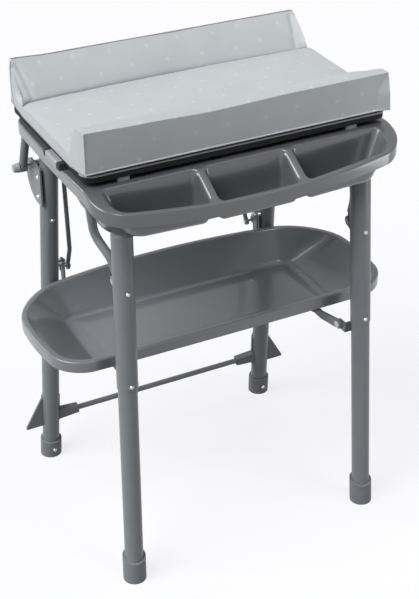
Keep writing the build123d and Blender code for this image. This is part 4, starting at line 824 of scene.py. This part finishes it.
# Folds of the cover: the foam's lumps show through it, the wedge's left end is pulled in, its
# right end has spare cover tucked in, and a flap is folded over the front roll's right end.
RIPPLE, RIPPLE_SIZE, FINE_RIPPLE, FINE_SCALE, RIPPLE_START = 0.0009, 0.075, 0.4, 2.7, 0.004
END_ROUND, END_ROUND_CURVE, END_PULL, END_PULL_START = 0.030, 0.8, 0.25, 0.2
TUCK_RISE, TUCK_FOOT, TUCK_TOP = 0.0045, 0.026, 0.011
TUCK_CURVE, TUCK_HEIGHT_CURVE, TUCK_END, TUCK_FACING = 1.4, 0.7, 1.05, 0.3
TUCK_DIP, TUCK_DIP_WIDTH, TUCK_DIP_END = 0.0014, 0.0045, 0.9
FLAP_RISE, FLAP_WIDTH, FLAP_TOP, FLAP_DEPTH = 0.0080, 0.031, 1.0300, 0.012
FLAP_HEIGHT, FLAP_CURVE, FLAP_DIP, FLAP_DIP_WIDTH = 0.040, 0.8, 0.0012, 0.004
# Painted shade along the wedge's foot: its strength at the left end, its fall towards the right, its
# width, and the faces and heights that it lies on.
WELD_SHADE, WELD_SHADE_FALL, WELD_SHADE_WIDTH = 0.75, 0.45, 0.0022
WELD_SHADE_FACING, WELD_SHADE_TOP = 0.2, 0.008
MAT_SHARP = math.radians(50)
WEDGE_FOOT, WEDGE_TOP = Vector((MAT_REAR_FOOT, MAT_FLAT)), Vector((MAT_BACK, WEDGE_TOP_Z))
WEDGE_OUT = Vector((WEDGE_FOOT.y - WEDGE_TOP.y, WEDGE_TOP.x - WEDGE_FOOT.x)).normalized()


def groove(distance, width):
    """A soft dip with its middle at distance 0."""
    return math.exp(-(distance / width) ** 2)


def foam_lumps(point):
    """Unevenness of the foam, in broad lumps with finer ones on them."""
    broad, fine = noise.noise(point / RIPPLE_SIZE), noise.noise(point * FINE_SCALE / RIPPLE_SIZE)
    return RIPPLE * (broad + FINE_RIPPLE * fine)


def end_pull(point, height):
    """Pull on the wedge's left end face, inward and away from its slope, wider at its foot."""
    depth = max(0.0, (WEDGE_FOOT - Vector((point.y, point.z))).dot(WEDGE_OUT))
    radius = END_ROUND * (1 - height) ** END_ROUND_CURVE
    near = max(0.0, 1 - abs(point.x + MAT_HALF) / radius) * max(0.0, 1 - depth / radius)
    pull = END_PULL * radius * near * near * min(1.0, height / END_PULL_START)
    return pull * Vector((1, -WEDGE_OUT.x, -WEDGE_OUT.y))


def end_tuck(point, height):
    """Rise of the cover tucked in at the wedge's right end, and the crease where it starts."""
    width = TUCK_FOOT + (TUCK_TOP - TUCK_FOOT) * height
    reach = abs(point.x) - (MAT_HALF - width)
    rise = 0.0
    if point.x > 0:
        share = math.sin(math.pi * min(1.0, height) ** TUCK_HEIGHT_CURVE)
        rise = TUCK_RISE * max(0.0, reach / width) ** TUCK_CURVE * share
    if height < TUCK_DIP_END:
        rise -= TUCK_DIP * groove(reach, TUCK_DIP_WIDTH)
    return rise * Vector((0, WEDGE_OUT.x, WEDGE_OUT.y))


def front_flap(point):
    """Rise of the flap over the front roll's right end, and the crease where it starts."""
    climb = min(1.0, max(0.0, (FLAP_TOP - point.z) / FLAP_HEIGHT))
    reach = point.x - (MAT_HALF - FLAP_WIDTH * climb ** FLAP_CURVE)
    rise = FLAP_RISE * max(0.0, reach / FLAP_WIDTH) - FLAP_DIP * groove(reach, FLAP_DIP_WIDTH)
    nearness = 1 - (point.y - MAT_FRONT) / FLAP_DEPTH
    return Vector((0, -rise * min(1.0, max(0.0, nearness)), 0))


# The mark darkens the cover in a narrow band along the wedge's foot, on faces looking up and less
# towards the right end: partly the pressed weld's tone, partly painted shade in the crease.
shade = mat_pad.data.attributes.new("weld_and_crease_shade", "FLOAT", "POINT")
mat_surface = [(vertex.co.copy(), vertex.normal.copy()) for vertex in mat_pad.data.vertices]
for vertex, (point, normal) in zip(mat_pad.data.vertices, mat_surface):
    height = (point.z - MAT_FLAT) / (table_value(REAR_EDGE, point.x) - MAT_FLAT)
    foot = rear_foot_at(point.x)
    if point.z > MAT_LOW + RIPPLE_START and abs(point.x) < MAT_HALF - END_STEP:
        vertex.co += normal * foam_lumps(point)
    if point.x < 0 and point.y > foot and 0 < height < 1:
        vertex.co += end_pull(point, height)
    if point.y > foot and 0 < height < TUCK_END and normal.y < TUCK_FACING:
        vertex.co += end_tuck(point, height)
    if point.z < FLAP_TOP:
        vertex.co += front_flap(point)
    if normal.z > WELD_SHADE_FACING and point.z < MAT_FLAT + WELD_SHADE_TOP:
        fade = WELD_SHADE - WELD_SHADE_FALL * point.x / MAT_HALF
        shade.data[vertex.index].value = fade * groove(point.y - foot, WELD_SHADE_WIDTH)
mat_pad.data.shade_smooth()
mat_pad.data.set_sharp_from_angle(angle=MAT_SHARP)

# Coated fabric, printed with faint pale dots: smooth and wipe-clean, with a soft sheen. Its grain
# is drawn coarser than it is so that it shows. Along the wedge's foot the colour is darkened, partly
# the pressed weld's own tone and partly painted shade in the crease, most at the left end.
DOT_APART, DOT_ROW, DOT_SIZE, DOT_STRAY = 0.076, 0.040, 0.0062, 0.25
DOT_COLOUR, DOT_STRENGTH, DOT_CORE, ROW_SHIFT = "e4e8ea", 0.36, 0.2, 0.5
# Colour of the band at the wedge's foot: the pressed weld's tone with the crease's painted shade.
WELD_SHADE_COLOUR = "84898c"

mat_cover = finish_material(
    "coated_fabric_cover", {"Roughness": 0.46, "Specular IOR Level": 0.4}, "c4c8cb",
    stain=("bcc1c4", 60, 0.6), grain=(1.6, 0.07),
)
tree = mat_cover.node_tree
unrolled = add_node(tree, "ShaderNodeUVMap", {"uv_map": "cloth"})
split = add_node(tree, "ShaderNodeSeparateXYZ", None, {"Vector": unrolled.outputs[0]})
rows = add_node(tree, "ShaderNodeMath", {"operation": "DIVIDE"}, {0: split.outputs["Y"], 1: DOT_ROW})
columns = add_node(tree, "ShaderNodeMath", {"operation": "DIVIDE"}, {
    0: split.outputs["X"], 1: DOT_APART,
})
staggered = add_node(tree, "ShaderNodeMath", {"operation": "MULTIPLY_ADD"}, {
    0: rows.outputs[0], 1: ROW_SHIFT, 2: columns.outputs[0],
})
lattice = add_node(tree, "ShaderNodeCombineXYZ", None, {
    "X": staggered.outputs[0], "Y": rows.outputs[0],
})
dots = add_node(tree, "ShaderNodeTexVoronoi", {"voronoi_dimensions": "2D"}, {
    "Vector": lattice.outputs[0], "Scale": 1.0, "Randomness": DOT_STRAY,
})
away = add_node(tree, "ShaderNodeVectorMath", {"operation": "SUBTRACT"}, {
    0: lattice.outputs[0], 1: dots.outputs["Position"],
})
away_parts = add_node(tree, "ShaderNodeSeparateXYZ", None, {"Vector": away.outputs[0]})
upright = add_node(tree, "ShaderNodeMath", {"operation": "MULTIPLY_ADD"}, {
    0: away_parts.outputs["Y"], 1: -ROW_SHIFT, 2: away_parts.outputs["X"],
})
flat_away = add_node(tree, "ShaderNodeCombineXYZ", None, {
    "X": upright.outputs[0], "Y": away_parts.outputs["Y"],
})
real_away = add_node(tree, "ShaderNodeVectorMath", {"operation": "MULTIPLY"}, {
    0: flat_away.outputs[0], 1: (DOT_APART, DOT_ROW, 0),
})
distance = add_node(tree, "ShaderNodeVectorMath", {"operation": "LENGTH"}, {0: real_away.outputs[0]})
dot = add_node(tree, "ShaderNodeMapRange", None, {
    "Value": distance.outputs["Value"], "From Min": DOT_SIZE * DOT_CORE, "From Max": DOT_SIZE,
    "To Min": DOT_STRENGTH, "To Max": 0.0,
})
base = tree.nodes["Principled BSDF"].inputs["Base Color"]
printed = add_node(tree, "ShaderNodeMix", {"data_type": "RGBA"}, {
    0: dot.outputs[0], 6: base.links[0].from_socket, 7: tone(DOT_COLOUR),
})
weld_shade_mark = add_node(tree, "ShaderNodeAttribute", {"attribute_name": "weld_and_crease_shade"})
weld_shaded = add_node(tree, "ShaderNodeMix", {"data_type": "RGBA"}, {
    0: weld_shade_mark.outputs["Fac"], 6: printed.outputs[2], 7: tone(WELD_SHADE_COLOUR),
})
tree.links.new(weld_shaded.outputs[2], base)
mat_pad.data.materials.clear()
mat_pad.data.materials.append(mat_cover)
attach(mat_pad, "changing_top")
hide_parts("mat")

# Trim of the mat: a cord in a strip of the cover, sewn in along its lower front edge, and the thin
# beads of the cover's welds: up the front left corner, round the wedge's top and ends, along the
# lower edge of the rear and the ends, and across the foot of each roll. Pressed welds are darker.
PIPING_RADIUS, BEAD_RADIUS, WELD_RADIUS, SEAM_RADIUS = 0.0018, 0.0012, 0.0010, 0.0008
TRIM_SIDES = 10
# Depth and height of the points that the seam up the wedge's left end passes.
END_SEAM = (
    (0.1925, 1.0375), (0.1918, 1.0082), (0.1903, 0.9882), (0.1869, 0.9685), (0.1798, 0.9529),
)


def sweep_tree(name):
    """Node tree that runs a round profile along a piece's edges."""
    made = bpy.data.node_groups.new(name, "GeometryNodeTree")
    made.interface.new_socket("Path", in_out="INPUT", socket_type="NodeSocketGeometry")
    for label, kind in (("Radius", "Float"), ("Sides", "Int"), ("Finish", "Material")):
        made.interface.new_socket(label, in_out="INPUT", socket_type="NodeSocket" + kind)
    made.interface.new_socket("Cord", in_out="OUTPUT", socket_type="NodeSocketGeometry")
    given = add_node(made, "NodeGroupInput")
    line = add_node(made, "GeometryNodeMeshToCurve", None, {"Mesh": given.outputs["Path"]})
    ring = add_node(made, "GeometryNodeCurvePrimitiveCircle", None, {
        "Resolution": given.outputs["Sides"], "Radius": given.outputs["Radius"],
    })
    tube = add_node(made, "GeometryNodeCurveToMesh", None, {
        "Curve": line.outputs["Curve"], "Profile Curve": ring.outputs["Curve"], "Fill Caps": True,
    })
    soft = add_node(made, "GeometryNodeSetShadeSmooth", None, {"Geometry": tube.outputs["Mesh"]})
    whole = add_node(made, "GeometryNodeRealizeInstances", None, {"Geometry": soft.outputs[0]})
    finished = add_node(made, "GeometryNodeSetMaterial", None, {
        "Geometry": whole.outputs[0], "Material": given.outputs["Finish"],
    })
    add_node(made, "NodeGroupOutput", None, {"Cord": finished.outputs[0]})
    return made


cord_along = sweep_tree("cord_along_edge")


def trim_piece(name, points, radius, material):
    """A round strip swept along a line of points, which moves with the changing top."""
    data = bpy.data.meshes.new(name)
    data.from_pydata(points, [(index, index + 1) for index in range(len(points) - 1)], [])
    piece = place_object(name, data)
    sweep = piece.modifiers.new("sweep", "NODES")
    sweep.node_group = cord_along
    values = {"Radius": radius, "Sides": TRIM_SIDES, "Finish": material}
    for item in cord_along.interface.items_tree:
        if item.name in values:
            sweep[item.identifier] = values[item.name]
    piece.update_tag()
    bake_modifiers(piece)
    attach(piece, "changing_top")


def grid_line(places, lift=0.0):
    """The mat's grid points, in order, as they lie after the swelling, raised by a lift."""
    return [mat_data.vertices[mat_corner(*place)].co + Vector((0, 0, lift)) for place in places]


# The cord's strip is drawn paler than the cover, as a painted highlight along the cord. Pressed
# into a weld the coated fabric looks darker, and shines a little more.
piping_painted_highlight = finish_material(
    "coated_fabric_piping_painted_highlight", {"Roughness": 0.42}, "d0d4d6", stain=("c4c8cb", 20, 0.6), grain=(1.2, 0.06),
)
bead_cloth = finish_material(
    "welded_cover_bead", {"Roughness": 0.4}, "a4a9ac", stain=("9aa0a3", 20, 0.6), grain=(1.2, 0.06),
)
weld_cloth = finish_material(
    "pressed_cover_weld", {"Roughness": 0.35}, "8a9094", stain=("7f8589", 20, 0.6), grain=(1.2, 0.06),
)
front_edge = [(column, 0, 0) for column in range(MAT_COLUMNS + 1)]
left_corner = [(0, 0, row) for row in range(MAT_ROWS + 1)]
upper_edge = [(column, mat_depth, MAT_ROWS) for column in range(1, MAT_COLUMNS)]
upper_edge += [
    (MAT_COLUMNS, station, MAT_ROWS) for station in range(mat_depth, weld_stations[1] - 1, -1)
]
end_edges = [(MAT_COLUMNS, station, 0) for station in range(mat_depth)]
end_edges += [(column, mat_depth, 0) for column in range(MAT_COLUMNS, 0, -1)]
end_edges += [(0, station, 0) for station in range(mat_depth, -1, -1)]
bpy.context.view_layer.update()
seam_line = []
for y, z in END_SEAM:
    met, place, _, _ = mat_pad.ray_cast(Vector((-2 * MAT_HALF, y, z)), Vector((1, 0, 0)))
    seam_line.append(place if met else Vector((-MAT_HALF, y, z)))
front_weld, rear_weld = (
    [(column, station, MAT_ROWS) for column in range(MAT_COLUMNS + 1)] for station in weld_stations
)
for name, line, radius, material in (
    ("mat_piping", grid_line(front_edge, PIPING_RADIUS), PIPING_RADIUS, piping_painted_highlight),
    ("mat_corner_bead", grid_line(left_corner), BEAD_RADIUS, piping_painted_highlight),
    ("mat_bead", grid_line(upper_edge), BEAD_RADIUS, bead_cloth),
    ("mat_end_bead", grid_line(end_edges, BEAD_RADIUS), BEAD_RADIUS, weld_cloth),
    ("mat_end_seam", seam_line, SEAM_RADIUS, weld_cloth),
    ("mat_front_weld", grid_line(front_weld), WELD_RADIUS, weld_cloth),
    ("mat_rear_weld", grid_line(rear_weld), WELD_RADIUS, weld_cloth),
):
    trim_piece(name, line, radius, material)

# Edge band of the changing board: a slim pale strip swept along its front edge, just under the mat.
# It has a soft shine, and its pale colour is a painted highlight: the board's edge catching the
# light as one thin line.
BOARD_HALF, BOARD_BACK, BOARD_FRONT, BOARD_CORNER = 0.331, 0.206, -0.180, 0.022
BAND_Z, BAND_RADIUS, BAND_STEPS = 0.9435, 0.0022, 40

board_corners = [
    (BOARD_HALF, BOARD_FRONT), (BOARD_HALF, BOARD_BACK), (-BOARD_HALF, BOARD_BACK),
    (-BOARD_HALF, BOARD_FRONT),
]
board_outline = rounded_polygon(board_corners, (BOARD_CORNER,) * 4, (1, 1, 1, BAND_STEPS))
corner_count = CORNER_STEPS + 1
front_outline = board_outline[3 * corner_count:] + board_outline[:corner_count]
band_painted_highlight = finish_material(
    "edge_band_painted_highlight", {"Roughness": 0.4}, "a8acaf", stain=("9ca0a3", 20, 0.5), grain=(1.5, 0.06),
)
band_line = [Vector((*point, BAND_Z)) for point in front_outline]
trim_piece("board_highlight_band", band_line, BAND_RADIUS, band_painted_highlight)
